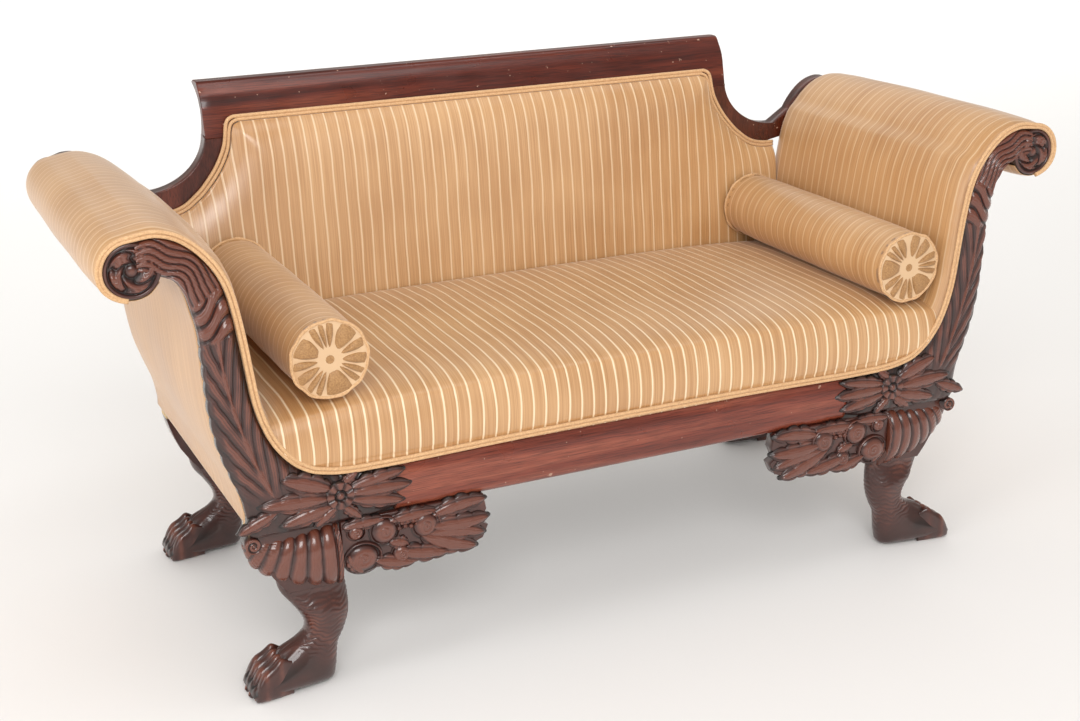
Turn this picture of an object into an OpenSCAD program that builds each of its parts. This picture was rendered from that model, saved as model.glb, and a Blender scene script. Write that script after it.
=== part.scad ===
// Scroll-arm settee with a rolled crest rail, carved arm facings, paw feet and two loose bolsters.
// Millimetres, +Z up, front towards -Y, left and right as seen from the front (right is +X).
// Depths are measured back from the front plane of the carved arm facings.

/* [Overall] */
// Distance between the centres of the two arm scrolls
scroll_span = 1548; // [1500:2:1600]
// Height of the arm scroll centres above the floor
scroll_z = 704; // [696:1:712]
// Depth from the front plane to the back of the rear posts
frame_d = 584; // [572:2:612]
// Distance between the inner tips of the two corner leaves
leaf_span = 822; // [790:2:850]
// Height of the tip of the crest rail above the floor
crest_z = 841; // [835:1:860]
// Width of the crest rail
crest_w = 1032; // [1016:2:1046]

/* [Seat frame] */
// Height of the underside of the show rail, where the legs join
rail_z = 273; // [269:1:277]
// Height of the show rail in the middle of the front
show_rail_h = 82; // [79:1:85]
// How much lower the show rail is at its ends
show_rail_arch = 5; // [2:1:8]
// Thickness of the carved facings and of the show rail
facing_t = 26; // [24:1:28]
// Thickness of the hidden seat rails and of the arm posts
rail_t = 36; // [34:1:38]
// Height of the hidden seat rails
rail_h = 54; // [48:1:56]
// Depth of the space under the hidden rails for webbing and dust cover
rail_rebate = 14; // [12:1:16]
// Diameter of the dowels in the frame joints
dowel_d = 10; // [8:1:12]

/* [Legs and brackets] */
// Depth of the front legs' centre plane behind the front plane
leg_inset = 37; // [35:1:39]
// Width of a paw, front to back
paw_w = 78; // [72:1:80]
// Length of a paw, heel to claw
paw_l = 143; // [137:1:149]
// Thickness of the back plate of the fruit brackets
bracket_t = 22; // [20:1:24]
// Length of a fruit bracket along the rail
bracket_l = 240; // [230:1:246]
// Height of a fruit bracket and of the horn on the leg
horn_h = 93; // [88:1:96]

/* [Back] */
// Angle by which the back frame leans back
back_rake = 5.5; // [4.5:0.5:6.5]
// Thickness of the back stiles
stile_t = 28; // [26:1:30]
// Depth by which the crest rail rolls back past the stiles
crest_roll = 60; // [56:1:66]
// Height of the lowest point of the shoulder scoops
scoop_z = 666; // [663:1:669]
// Height of the joint between stiles and crest rail below the tip of the crest
crest_h = 93; // [90:1:96]

/* [Upholstery] */
// Thickness of the padding on the inside of the arms
arm_pad_t = 26; // [22:1:28]
// Thickness of the back pad at its fullest
back_pad_t = 38; // [34:1:40]
// Height of the crown of the seat above the show rail's underside
seat_h = 201; // [193:1:203]
// Radius of a bolster
bolster_r = 61; // [55:1:63]
// Length of a bolster
bolster_l = 505; // [480:1:507]
// How far the left bolster lies in from the arm
bolster_gap = 42; // [0:1:60]
// Number of gathers sewn into the end of a bolster
gathers = 14; // [10:1:16]
// Width of the double welt
welt_w = 12; // [9:1:13]

/* [Seat springs] */
// Height of a seat spring
spring_h = 105; // [98:1:108]
// Outer diameter of a seat spring
spring_d = 84; // [76:1:92]
// Diameter of the spring wire
wire_d = 3.6; // [3.2:0.2:4]
// Turns in a seat spring
spring_turns = 3; // [2:1:4]

/* [Hidden] */

$fn = 64;
mahogany = "#5a2e26";
carved_mahogany = "#43231f";
poplar = "#c9ad7f";
satin = "#cfa671";
satin_pale = "#dfbf8f";
jute = "#b08d57";
linen = "#cdbb95";
cambric = "#2b2b2b";
steel = "#8f9296";
beech = "#c79e6c";

clearance = 0.3;
overrun = 1;
scroll_x = scroll_span / 2;
scroll_r = 40;
scroll_core_r = 36;
leaf_x = leaf_span / 2;
rise = scroll_z - rail_z;
flare = scroll_x - leaf_x;
corner_share = 0.41;
side_share = 0.62;
corner_x = leaf_x + corner_share * flare;
side_outer_x = leaf_x + side_share * flare;
corner_w = side_outer_x - corner_x;
corner_h = 96;
side_rail_x = side_outer_x - rail_t;
rail_low_z = rail_z + rail_rebate;
rail_top_z = rail_low_z + rail_h;
post_front_y = facing_t;
rail_back_y = facing_t + rail_t;
rear_front_y = frame_d - rail_t;
back_set = 8;
back_foot_y = rear_front_y + back_set;
frame_mid_y = (post_front_y + frame_d) / 2;
crest_low_z = crest_z - crest_h;
crest_x = crest_w / 2;
boss_proud = 5;
crest_back_y = stile_front(crest_z) + crest_roll;
front_y = (boss_proud - crest_back_y) / 2;

// Smooth curves through a few chosen points
function spline_at(p, k, t) =
    let (
        a = p[max(k - 1, 0)], b = p[k], c = p[k + 1], d = p[min(k + 2, len(p) - 1)]
    )
    0.5 * (2 * b + (c - a) * t + (2 * a - 5 * b + 4 * c - d) * t * t
        + (3 * b - a - 3 * c + d) * t * t * t);
function spline(p, steps) = concat(
    [for (k = [0:len(p) - 2], j = [0:steps - 1]) spline_at(p, k, j / steps)],
    [p[len(p) - 1]]
);
function mix(a, b, t) = a + (b - a) * t;
function power(v, e) = sign(v) * pow(abs(v), e);
function unit(v) = v / norm(v);
function left_normal(p, i) =
    let (d = unit(p[min(i + 1, len(p) - 1)] - p[max(i - 1, 0)])) [-d[1], d[0]];
function reversed(p) = [for (i = [len(p) - 1:-1:0]) p[i]];
function mirrored(p) = [for (q = reversed(p)) [-q[0], q[1]]];

// A closed skin over rings that all have the same even number of points
function sixfold_volume(p, faces, i = 0, sum = 0) =
    i == len(faces) ? sum
    : let (f = faces[i])
        sixfold_volume(p, faces, i + 1, sum + cross(p[f[0]], p[f[1]]) * p[f[2]]);
module skin(rings) {
    n = len(rings[0]);
    last = (len(rings) - 1) * n;
    walls = [
        for (k = [0:len(rings) - 2], i = [0:n - 1])
            let (a = k * n + i, b = k * n + (i + 1) % n, c = a + n, d = b + n)
            each [[a, b, d], [a, d, c]]
    ];
    first_cap = [
        for (i = [0:n / 2 - 2]) let (j = n - 1 - i) each [[i, j, i + 1], [i + 1, j, j - 1]]
    ];
    last_cap = [for (f = first_cap) [last + f[0], last + f[2], last + f[1]]];
    points = [for (r = rings) each r];
    faces = concat(walls, first_cap, last_cap);
    turned = sixfold_volume(points, faces) > 0;
    polyhedron(points = points, faces = turned ? [for (f = faces) reversed(f)] : faces);
}

// Placing: pieces are drawn for the right-hand side, from the front plane of the facings
module placed() translate([0, front_y, 0]) children();
module other_side() mirror([1, 0, 0]) children();
module rear_of_frame() translate([0, 2 * frame_mid_y, 0]) mirror([0, 1, 0]) children();
module board(y0, y1) translate([0, y1, 0]) rotate([90, 0, 0]) linear_extrude(y1 - y0) children();
module along_x(x0, x1) translate([x0, 0, 0]) rotate([90, 0, 90]) linear_extrude(x1 - x0) children();

// The leaning plane of the back frame
function stile_front(z) = back_foot_y + tan(back_rake) * (z - rail_top_z);
function up_stile(z) = (z - rail_top_z) / cos(back_rake);
module leaning(depth0, depth1) {
    translate([0, back_foot_y, rail_top_z]) rotate([-back_rake, 0, 0]) board(depth0, depth1) children();
}

// The scrolled arm: shares of the flare outwards and of the rise upwards, from scroll to leaf tip
arm_inner_share = [
    [0.983, 1.093], [0.906, 1.098], [0.829, 1.077], [0.758, 1.030], [0.697, 0.963],
    [0.658, 0.888], [0.634, 0.794], [0.617, 0.699], [0.601, 0.593], [0.584, 0.493],
    [0.554, 0.402], [0.510, 0.322], [0.446, 0.255], [0.377, 0.213], [0.317, 0.196],
    [0.245, 0.185], [0.163, 0.180], [0.080, 0.178], [0.002, 0.172]
];
arm_outer_share = [
    [0.983, 0.991], [0.934, 0.977], [0.887, 0.965], [0.843, 0.944], [0.807, 0.895],
    [0.785, 0.827], [0.769, 0.757], [0.760, 0.671], [0.755, 0.570], [0.747, 0.465],
    [0.725, 0.348], [0.689, 0.248], [0.653, 0.161], [0.636, 0.084], [0.620, 0.006],
    [0.480, 0], [0.300, 0], [0.121, 0], [0.002, 0.019]
];
function arm_place(s) = [leaf_x + s[0] * flare, rail_z + s[1] * rise];
arm_steps = 2;
arm_inner = spline([for (s = arm_inner_share) arm_place(s)], arm_steps);
arm_outer_line = spline([for (s = arm_outer_share) arm_place(s)], arm_steps);
arm_outer = [for (p = arm_outer_line) [p[0], max(p[1], rail_z)]];
shoulder = 4 * arm_steps;
elbow = 12 * arm_steps;
arm_table = [for (i = [shoulder:elbow + 2]) [arm_inner[i][1], arm_inner[i][0]]];
function arm_x(z) = lookup(z, arm_table);

// Carved facings: a crowned S-scroll with its eye and the corner rosette, one carving
facing_edge_y = 10;
facing_crown_y = 4;
rosette_share = [0.25, 0.57];
rosette_x = leaf_x + rosette_share[0] * flare;
rosette_z = rail_z + rosette_share[1] * show_rail_h;
rosette_r = 22;
crown_share = [[0.22, 1], [0.5, 0], [0.78, 1]];
function facing_ring(i) =
    let (a = arm_inner[i], b = arm_outer[i], c = mix(a, b, 0.5))
    [
        [a[0], facing_t, a[1]], [a[0], facing_edge_y, a[1]],
        for (s = crown_share) let (p = mix(a, b, s[0])) [p[0], s[1] * facing_crown_y, p[1]],
        [b[0], facing_edge_y, b[1]], [b[0], facing_t, b[1]], [c[0], facing_t, c[1]]
    ];
eye_profile_share = [
    [0, 0], [1, 0], [1, 0.65], [0.92, 0.85], [0.78, 1], [0.5, 0.96], [0.33, 0.78],
    [0.26, 1.08], [0, 1.19]
];
rosette_profile_share = [
    [0, 0], [1, 0], [1, 0.5], [0.86, 0.8], [0.68, 0.8], [0.54, 0.5], [0.3, 0.6],
    [0.18, 0.9], [0, 1]
];
rosette_h = 10;
rosette_y = 5;
seam_turn = 100;
module arm_facing() {
    color(carved_mahogany) placed() {
        skin([for (i = [0:len(arm_inner) - 1]) facing_ring(i)]);
        translate([scroll_x, facing_t, scroll_z]) rotate([90, seam_turn, 0]) rotate_extrude()
            polygon([for (s = eye_profile_share) [s[0] * scroll_r, s[1] * facing_t]]);
        translate([rosette_x, rosette_y, rosette_z]) rotate([90, seam_turn, 0]) rotate_extrude()
            polygon([for (s = rosette_profile_share) [s[0] * rosette_r, s[1] * rosette_h]]);
    }
}
module left_arm_facing() other_side() arm_facing();
module right_arm_facing() arm_facing();

// Arm posts, sawn to the line of the arm and set in from the edges of the facing
post_inset_share = 0.075;
module post_outline() {
    polygon(concat(
        [for (i = [0:elbow + 1]) mix(arm_inner[i], arm_outer[i], post_inset_share)],
        [for (i = [elbow + 1:-1:0]) mix(arm_outer[i], arm_inner[i], post_inset_share)]
    ));
    translate([scroll_x, scroll_z]) circle(scroll_core_r);
    translate([corner_x, rail_z]) square([corner_w, corner_h]);
}
module front_post() {
    color(poplar) placed() difference() {
        board(post_front_y, rail_back_y) post_outline();
        joint_holes();
    }
}
module rear_post() {
    color(poplar) placed() difference() {
        board(rear_front_y, frame_d) post_outline();
        rear_of_frame() joint_holes();
    }
}
module left_front_post() other_side() front_post();
module right_front_post() front_post();
module left_rear_post() other_side() rear_post();
module right_rear_post() rear_post();

// Dowels and screws of one front corner; the same shapes cut their holes
dowel_l = 50;
dowel_margin = 14;
dowel_rows = [rail_low_z + dowel_margin, rail_top_z - dowel_margin];
block_leg = 60;
block_margin = 3;
screw_d = 5;
screw_l = 62;
screw_head_d = 10;
screw_head_h = 3;
screw_rows = [rail_low_z + rail_h / 2];
module corner_dowels() {
    for (z = dowel_rows) {
        translate([corner_x - dowel_l / 2, post_front_y + rail_t / 2, z])
            rotate([0, 90, 0]) cylinder(d = dowel_d, h = dowel_l);
        translate([side_rail_x + rail_t / 2, rail_back_y - dowel_l / 3, z])
            rotate([-90, 0, 0]) cylinder(d = dowel_d, h = dowel_l);
    }
}
module corner_screw() {
    for (z = screw_rows)
        translate([side_rail_x - block_leg / 2, rail_back_y + block_leg / 2, z])
            rotate([0, 90, -45]) {
                cylinder(d = screw_d, h = screw_l);
                cylinder(d1 = screw_head_d, d2 = screw_d, h = screw_head_h);
            }
}
module joint_holes() {
    corner_dowels();
    corner_screw();
}
module four_corners() {
    for (s = [0, 1]) mirror([s, 0, 0]) {
        children();
        rear_of_frame() children();
    }
}
module rail_dowels() color(beech) placed() four_corners() corner_dowels();
module corner_screws() color(steel) placed() four_corners() corner_screw();
module corner_blocks() {
    color(poplar) placed() four_corners() difference() {
        translate([side_rail_x, rail_back_y, rail_low_z + block_margin])
            linear_extrude(rail_h - 2 * block_margin)
                polygon([[0, 0], [-block_leg, 0], [0, block_leg]]);
        corner_screw();
    }
}

// Hidden seat rails
module long_rail() {
    difference() {
        board(post_front_y, rail_back_y)
            translate([-corner_x, rail_low_z]) square([2 * corner_x, rail_h]);
        for (s = [0, 1]) mirror([s, 0, 0]) corner_dowels();
    }
}
module front_rail() color(poplar) placed() long_rail();
module rear_rail() {
    color(poplar) placed() difference() {
        rear_of_frame() long_rail();
        back_dowel_set();
    }
}
module side_rail() {
    color(poplar) placed() difference() {
        translate([side_rail_x, rail_back_y, rail_low_z])
            cube([rail_t, rear_front_y - rail_back_y, rail_h]);
        joint_holes();
        rear_of_frame() joint_holes();
    }
}
module left_side_rail() other_side() side_rail();
module right_side_rail() side_rail();

// Show rail: gently arched on top, its face rounded from edge to edge
show_rail_face = 11;
show_rail_low_y = 3;
show_steps = 16;
show_bulge_r = (pow(show_rail_h / 2, 2) + pow(show_rail_face, 2)) / (2 * show_rail_face);
function show_top(x) =
    rail_z + show_rail_h - show_rail_arch * pow(min(abs(x) / leaf_x, 1), 2);
show_outline = concat(
    [[-leaf_x, rail_z], [leaf_x, rail_z]],
    [for (i = [show_steps:-1:0]) let (x = leaf_x * (2 * i / show_steps - 1)) [x, show_top(x)]]
);
module show_rail() {
    color(mahogany) placed() {
        board(show_rail_low_y + show_rail_face, facing_t) polygon(show_outline);
        intersection() {
            board(show_rail_low_y - overrun, show_rail_low_y + show_rail_face) polygon(show_outline);
            translate([-leaf_x - overrun, show_rail_low_y + show_bulge_r, rail_z + show_rail_h / 2])
                rotate([0, 90, 0]) cylinder(r = show_bulge_r, h = leaf_span + 2 * overrun);
        }
    }
}

// Paw legs: a skin between the instep line and the heel line, shares of paw length and leg height
leg_share = 0.281;
leg_x = leaf_x + leg_share * flare;
paw_instep_share = [
    [0.63, 0.77], [0.58, 0.61], [0.46, 0.515], [0.37, 0.44], [0.33, 0.38], [0.345, 0.335],
    [0.42, 0.3], [0.50, 0.278], [0.60, 0.255], [0.70, 0.222], [0.80, 0.185], [0.90, 0.15],
    [0.975, 0.1], [1.0, 0.05]
];
paw_heel_share = [
    [-0.08, 0.77], [-0.17, 0.6], [-0.21, 0.47], [-0.2, 0.385], [-0.14, 0.31], [-0.05, 0.235],
    [-0.01, 0.16], [0.0, 0.08], [0.05, 0.012], [0.25, 0], [0.5, 0], [0.75, 0],
    [0.92, 0.002], [0.975, 0.025]
];
paw_width_share = [
    0.88, 0.86, 0.8, 0.72, 0.65, 0.63, 0.66, 0.74, 0.83, 0.91, 0.97, 1, 0.95, 0.8
];
toe_share = [0, 0, 0, 0, 0, 0, 0, 0.02, 0.06, 0.14, 0.24, 0.32, 0.34, 0.2];
toes = 4;
paw_sides = 24;
paw_steps = 2;
paw_squareness = 0.9;
sole_z = 4;
function paw_line(share) = spline(
    [for (s = share) [leg_x + s[0] * paw_l, s[1] * rail_z]], paw_steps
);
function in_between(v, k) = mix(v[floor(k)], v[min(floor(k) + 1, len(v) - 1)], k - floor(k));
sole_flatness = 1.2;
function paw_ring(a, b, half, groove, flat) = [
    for (i = [0:paw_sides - 1])
        let (
            turn = 360 * (i + 0.5) / paw_sides,
            h = max(-1, flat * power(cos(turn), paw_squareness)),
            w = power(sin(turn), paw_squareness),
            cut = cos(turn) > 0 ? 1 - groove * (1 + cos(360 * toes / 2 * w)) / 2 : 1,
            p = (a + b) / 2 + (a - b) / 2 * h * cut
        )
        [p[0], leg_inset + half * w, p[1]]
];
module paw() {
    instep = paw_line(paw_instep_share);
    heel = paw_line(paw_heel_share);
    skin([
        for (i = [0:len(instep) - 1])
            paw_ring(
                instep[i], heel[i], in_between(paw_width_share, i / paw_steps) * paw_w / 2,
                in_between(toe_share, i / paw_steps), heel[i][1] < sole_z ? sole_flatness : 1
            )
    ]);
}
// Outline of the leg's head, shares of paw length outwards and of horn height upwards
head_inner_share = -0.08;
head_outline_share = [
    [head_inner_share, 0], [head_inner_share, 1], [0.86, 1], [0.84, 0.84], [0.79, 0.6],
    [0.72, 0.34], [0.6, 0.05], [0.5, -0.15], [0.1, -0.15]
];
function head_place(s) = [leg_x + s[0] * paw_l, rail_z - horn_h + s[1] * horn_h];
head_y = 20;
module leg_head(y0, y1) board(y0, y1) polygon([for (s = head_outline_share) head_place(s)]);

// Horn of plenty on the leg's head: a curved cone with raised ribs, its mouth towards the bracket
horn_axis_share = [
    [-0.07, 0.5], [0.12, 0.49], [0.33, 0.5], [0.53, 0.56], [0.7, 0.66], [0.83, 0.78], [0.9, 0.86]
];
horn_r_share = [0.49, 0.47, 0.42, 0.35, 0.26, 0.17, 0.1];
horn_depth_share = 0.72;
horn_groove_share = 0.13;
horn_sides = 14;
horn_steps = 3;
horn_axis = spline([for (s = horn_axis_share) head_place(s)], horn_steps);
function horn_ring(i) =
    let (
        n = left_normal(horn_axis, i), c = horn_axis[i],
        full = horn_h * in_between(horn_r_share, i / horn_steps),
        r = full * (i % horn_steps == 0 ? 1 : 1 - horn_groove_share)
    )
    [
        for (k = [0:horn_sides - 1])
            let (up = r * cos(360 * k / horn_sides), out = r * sin(360 * k / horn_sides))
            [c[0] + n[0] * up, leg_inset + horn_depth_share * out, c[1] + n[1] * up]
    ];
module horn() skin([for (i = [0:len(horn_axis) - 1]) horn_ring(i)]);
curl_r = 11;
curl_y = 8;
curl_share = 0.86;
module front_leg() {
    color(carved_mahogany) placed() {
        paw();
        leg_head(head_y, rail_back_y);
        horn();
        board(curl_y, leg_inset) translate([leg_x + paw_l * curl_share, rail_z - curl_r]) circle(curl_r);
    }
}
rear_paw_in = 9;
module rear_leg() {
    color(carved_mahogany) placed() {
        translate([0, frame_d - rear_paw_in - leg_inset, 0]) paw();
        leg_head(rear_front_y, frame_d);
    }
}
module front_left_leg() other_side() front_leg();
module front_right_leg() front_leg();
module rear_left_leg() other_side() rear_leg();
module rear_right_leg() rear_leg();

// Fruit brackets: a sawn plate with leaves and fruit spilling from the horn's mouth
bracket_x = leg_x + head_inner_share * paw_l - clearance;
bracket_y = 5;
bracket_outline_share = [
    [0, 1], [0, 0.33], [0.05, 0.2], [0.085, 0.02], [0.12, 0], [0.18, 0.08], [0.27, 0.05],
    [0.36, 0.09], [0.45, 0.03], [0.55, 0.07], [0.64, 0.05], [0.76, 0.12], [0.86, 0.1], [0.96, 0.2], [1, 0.42],
    [0.95, 0.5], [0.99, 0.72], [0.97, 1]
];
fruit_share = [[0.17, 0.26, 0.21], [0.32, 0.62, 0.17], [0.55, 0.6, 0.17]];
leaf_share = [
    [0.62, 0.6, 1.0, 0.86, 0.2], [0.62, 0.5, 1.0, 0.42, 0.2], [0.5, 0.32, 0.93, 0.14, 0.19],
    [0.33, 0.3, 0.6, 0.12, 0.16]
];
leaf_profile_share = [0.3, 0.85, 1, 0.75, 0.12];
leaf_h = 7;
leaf_edge = 1;
leaf_root = 4;
function bracket_place(u, v) = [bracket_x - u * bracket_l, rail_z - horn_h + v * horn_h];
// A leaf from its root a to its tip b, with a raised midrib
module leaf(a, b, half) {
    along = unit(b - a);
    across = [-along[1], along[0]] * half;
    skin([
        for (k = [0:len(leaf_profile_share) - 1])
            let (
                c = mix(a, b, k / (len(leaf_profile_share) - 1)),
                w = across * leaf_profile_share[k], l = c + w, r = c - w,
                top = bracket_y - leaf_h * leaf_profile_share[k]
            )
            [
                [l[0], bracket_y + leaf_root, l[1]], [l[0], bracket_y - leaf_edge, l[1]], [c[0], top, c[1]],
                [r[0], bracket_y - leaf_edge, r[1]], [r[0], bracket_y + leaf_root, r[1]],
                [c[0], bracket_y + leaf_root + leaf_edge, c[1]]
            ]
    ]);
}
fruit_rim_r = 2.6;
fruit_turn = 35;
fruit_rim_share = [0.62, 0.74];
module fruit(at, r) {
    translate([at[0], r - boss_proud + fruit_rim_r, at[1]]) {
        sphere(r);
        rotate([0, 0, fruit_turn]) translate([-r * fruit_rim_share[0], 0, 0]) rotate([0, 90, 0])
            rotate_extrude() translate([r * fruit_rim_share[1], 0]) circle(fruit_rim_r, $fn = 16);
    }
}
module fruit_bracket() {
    color(carved_mahogany) placed() {
        board(bracket_y, bracket_y + bracket_t)
            polygon([for (s = bracket_outline_share) bracket_place(s[0], s[1])]);
        for (f = fruit_share) fruit(bracket_place(f[0], f[1]), f[2] * horn_h);
        for (l = leaf_share)
            leaf(bracket_place(l[0], l[1]), bracket_place(l[2], l[3]), l[4] * horn_h);
    }
}
module left_fruit_bracket() other_side() fruit_bracket();
module right_fruit_bracket() fruit_bracket();

// Arm frame between the posts
slat_w = 44;
slat_t = 12;
slat_stations = [5, 8, 10.5];
module scroll_rail() {
    color(poplar) placed()
        board(rail_back_y, rear_front_y) translate([scroll_x, scroll_z]) circle(scroll_core_r);
}
module arm_slats() {
    color(poplar) placed() for (s = slat_stations) {
        i = s * arm_steps;
        p = mix(arm_inner[i], arm_outer[i], post_inset_share);
        d = unit(arm_inner[i - 1] - arm_inner[i + 1]);
        board(rail_back_y, rear_front_y)
            translate(p) rotate(atan2(d[1], d[0])) translate([-slat_w / 2, -slat_t]) square([slat_w, slat_t]);
    }
}
module left_scroll_rail() other_side() scroll_rail();
module right_scroll_rail() scroll_rail();
module left_arm_slats() other_side() arm_slats();
module right_arm_slats() arm_slats();

// Arm pads: drawn in at both ends, fullest in the middle, wrapped round the scroll
arm_pad_y0 = 5;
pad_depth_share = [
    [0, 0.1], [0.012, 0.4], [0.04, 0.64], [0.1, 0.8], [0.28, 0.94], [0.5, 1], [0.72, 0.94],
    [0.9, 0.8], [0.96, 0.64], [0.988, 0.4], [1, 0.1]
];
scroll_turn = 30;
scroll_turns = [for (k = [0:8]) 90 - k * scroll_turn];
scroll_pad_share = [0.5, 0.5, 0.5, 0.48, 0.42, 0.32, 0.22, 0.14, 0.1];
pad_path = concat(
    [for (i = [elbow + 1:-1:1]) arm_inner[i]],
    [for (t = scroll_turns) [scroll_x, scroll_z] + scroll_r / cos(scroll_turn / 2) * [cos(t), sin(t)]]
);
elbow_pad_share = [0.3, 0.55, 0.8, 0.8];
shoulder_pad_share = 0.7;
pad_path_share = concat(
    elbow_pad_share, [for (i = [elbow - 3:-1:shoulder]) 1],
    [for (i = [shoulder - 1:-1:1]) shoulder_pad_share], scroll_pad_share
);
function arm_pad_ring(y, share) = [
    for (i = [0:len(pad_path) - 1])
        let (p = pad_path[i] + left_normal(pad_path, i) * (clearance + arm_pad_t * share * pad_path_share[i]))
        [p[0], y, p[1]],
    for (i = [len(pad_path) - 1:-1:0])
        let (p = pad_path[i] + left_normal(pad_path, i) * clearance) [p[0], y, p[1]]
];
module arm_pad() {
    color(satin) placed()
        skin([for (s = pad_depth_share) arm_pad_ring(mix(arm_pad_y0, frame_d, s[0]), s[1])]);
}
module left_arm_pad() other_side() arm_pad();
module right_arm_pad() arm_pad();

// Fabric over the outside of the arm, from under the scroll down to the side rail
panel_first = 4;
panel_last = elbow + 3;
panel_gap_share = 0.005;
module outer_panel() {
    color(satin) placed() board(facing_t + clearance, frame_d)
        polygon(concat(
            [for (i = [panel_first:panel_last]) mix(arm_outer[i], arm_inner[i], panel_gap_share)],
            [
                for (i = [panel_last:-1:panel_first])
                    let (p = mix(arm_outer[i], arm_inner[i], post_inset_share - panel_gap_share))
                        [max(p[0], side_rail_x + rail_t + clearance), p[1]]
            ]
        ));
}
module left_outer_panel() other_side() outer_panel();
module right_outer_panel() outer_panel();

// Crest rail: a hollow front under the roll, and a roll that flares to the back
crest_front_share = [
    [0, 0], [0.045, 0.18], [0.1, 0.39], [0.143, 0.56], [0.233, 0.72], [0.407, 0.89],
    [0.523, 0.985], [0.7, 1], [0.9, 0.99]
];
crest_rear_share = [
    [1, 0.955], [0.785, 0.88], [0.54, 0.763], [0.364, 0.6], [0.277, 0.41], [0.306, 0.18], [0.407, 0]
];
crest_foot_y = stile_front(crest_low_z);
crest_depth = crest_back_y - crest_foot_y;
function crest_place(s) = [crest_foot_y + s[0] * crest_depth, crest_low_z + s[1] * crest_h];
crest_profile = concat(
    spline([for (s = crest_front_share) crest_place(s)], 3),
    spline([for (s = crest_rear_share) crest_place(s)], 3)
);
module crest_rail() {
    color(mahogany) placed() difference() {
        along_x(-crest_x, crest_x) polygon(crest_profile);
        back_dowel_set();
    }
}

// Back stiles: neck, scooped shoulder and the wing behind the arm scroll, one sawn board
scoop_share = 0.426;
scoop_w = scoop_share * (scroll_x - crest_x);
scoop_steps = 10;
stile_w = 50;
neck_rise = 9;
neck_z = crest_low_z + neck_rise;
arm_gap = arm_pad_t + 3 * clearance;
wing_low_share = [[0.63, 0.845], [0.7, 0.86], [0.78, 0.89], [0.86, 0.925]];
wing_turns = [215, 245, 275, 305, 335, 5, 35, 65, 90];
wing_r = 39;
stile_low_share = [0, 0.137, 0.3, 0.486, 0.673];
stile_low = [for (s = stile_low_share) mix(rail_top_z, scoop_z, s)];
stile_wing_share = 0.835;
stile_wing_z = rail_z + stile_wing_share * rise;
corner_top_z = rail_z + corner_h + stile_t;
stile_outline = concat(
    [[crest_x - stile_w, rail_top_z - stile_t], [corner_x - clearance, rail_top_z - stile_t]],
    [
        for (z = stile_low)
            [min(arm_x(z) - arm_gap, z < corner_top_z ? corner_x : scroll_x) - clearance, z]
    ],
    [[arm_x(stile_wing_z) - arm_gap, stile_wing_z]],
    [for (s = wing_low_share) arm_place(s)],
    [for (t = wing_turns) [scroll_x, scroll_z] + wing_r * [cos(t), sin(t)]],
    [for (i = [1:shoulder]) arm_inner[i]],
    [
        for (k = [0:scoop_steps]) let (t = 90 - k * 90 / scoop_steps)
            [crest_x + scoop_w * (1 - cos(t)), neck_z - (neck_z - scoop_z) * sin(t)]
    ],
    [[crest_x, crest_z], [crest_x - stile_w, crest_z]]
);
band_w = 32;
module above_and_below_back() {
    translate([-crest_x - band_w, 0, crest_low_z]) cube([2 * (crest_x + band_w), 2 * frame_d, crest_z]);
    translate([-scroll_span, 0, 0]) cube([2 * scroll_span, 2 * frame_d, rail_top_z]);
}
module back_stile() {
    color(mahogany) placed() difference() {
        leaning(0, stile_t) polygon([for (p = stile_outline) [p[0], up_stile(p[1])]]);
        above_and_below_back();
        back_dowel_set();
    }
}
module left_back_stile() other_side() back_stile();
module right_back_stile() back_stile();
back_dowel_x = crest_x - stile_w / 2;
module back_dowel_set() {
    for (s = [-1, 1], z = [rail_top_z, crest_low_z])
        translate([s * back_dowel_x, back_foot_y, rail_top_z]) rotate([-back_rake, 0, 0])
            translate([0, stile_t / 2, up_stile(z) - dowel_l / 2]) cylinder(d = dowel_d, h = dowel_l);
}
module back_dowels() color(beech) placed() back_dowel_set();

// Members between the stiles
lower_rail_rise = 28;
lower_rail_z = rail_top_z + lower_rail_rise;
lower_rail_h = 42;
upright_w = 50;
module back_lower_rail() {
    color(poplar) placed() leaning(0, stile_t)
        translate([-(crest_x - stile_w), up_stile(lower_rail_z)])
            square([2 * (crest_x - stile_w), lower_rail_h]);
}
module back_upright() {
    color(poplar) placed() difference() {
        leaning(0, stile_t)
            translate([-upright_w / 2, up_stile(lower_rail_z) + lower_rail_h])
                square([upright_w, crest_z - lower_rail_z]);
        above_and_below_back();
    }
}

// Jute webbing, nailed flat and interlaced in two layers
web_w = 50;
web_t = 2;
back_web_x_share = [-0.765, -0.497, -0.23, 0.23, 0.497, 0.765];
back_web_x = back_web_x_share * crest_x;
back_web_share = [0.2, 0.44, 0.68, 0.9];
back_web_h = crest_low_z - lower_rail_z - welt_w;
back_web_x1 = crest_x - stile_w + welt_w;
module back_webbing() {
    color(jute) placed() {
        leaning(-web_t, 0) for (x = back_web_x)
            translate([x - web_w / 2, up_stile(lower_rail_z)]) square([web_w, back_web_h]);
        leaning(-2 * web_t, -web_t) for (s = back_web_share)
            translate([-back_web_x1, up_stile(lower_rail_z) + s * back_web_h - web_w / 2])
                square([2 * back_web_x1, web_w]);
    }
}

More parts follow.
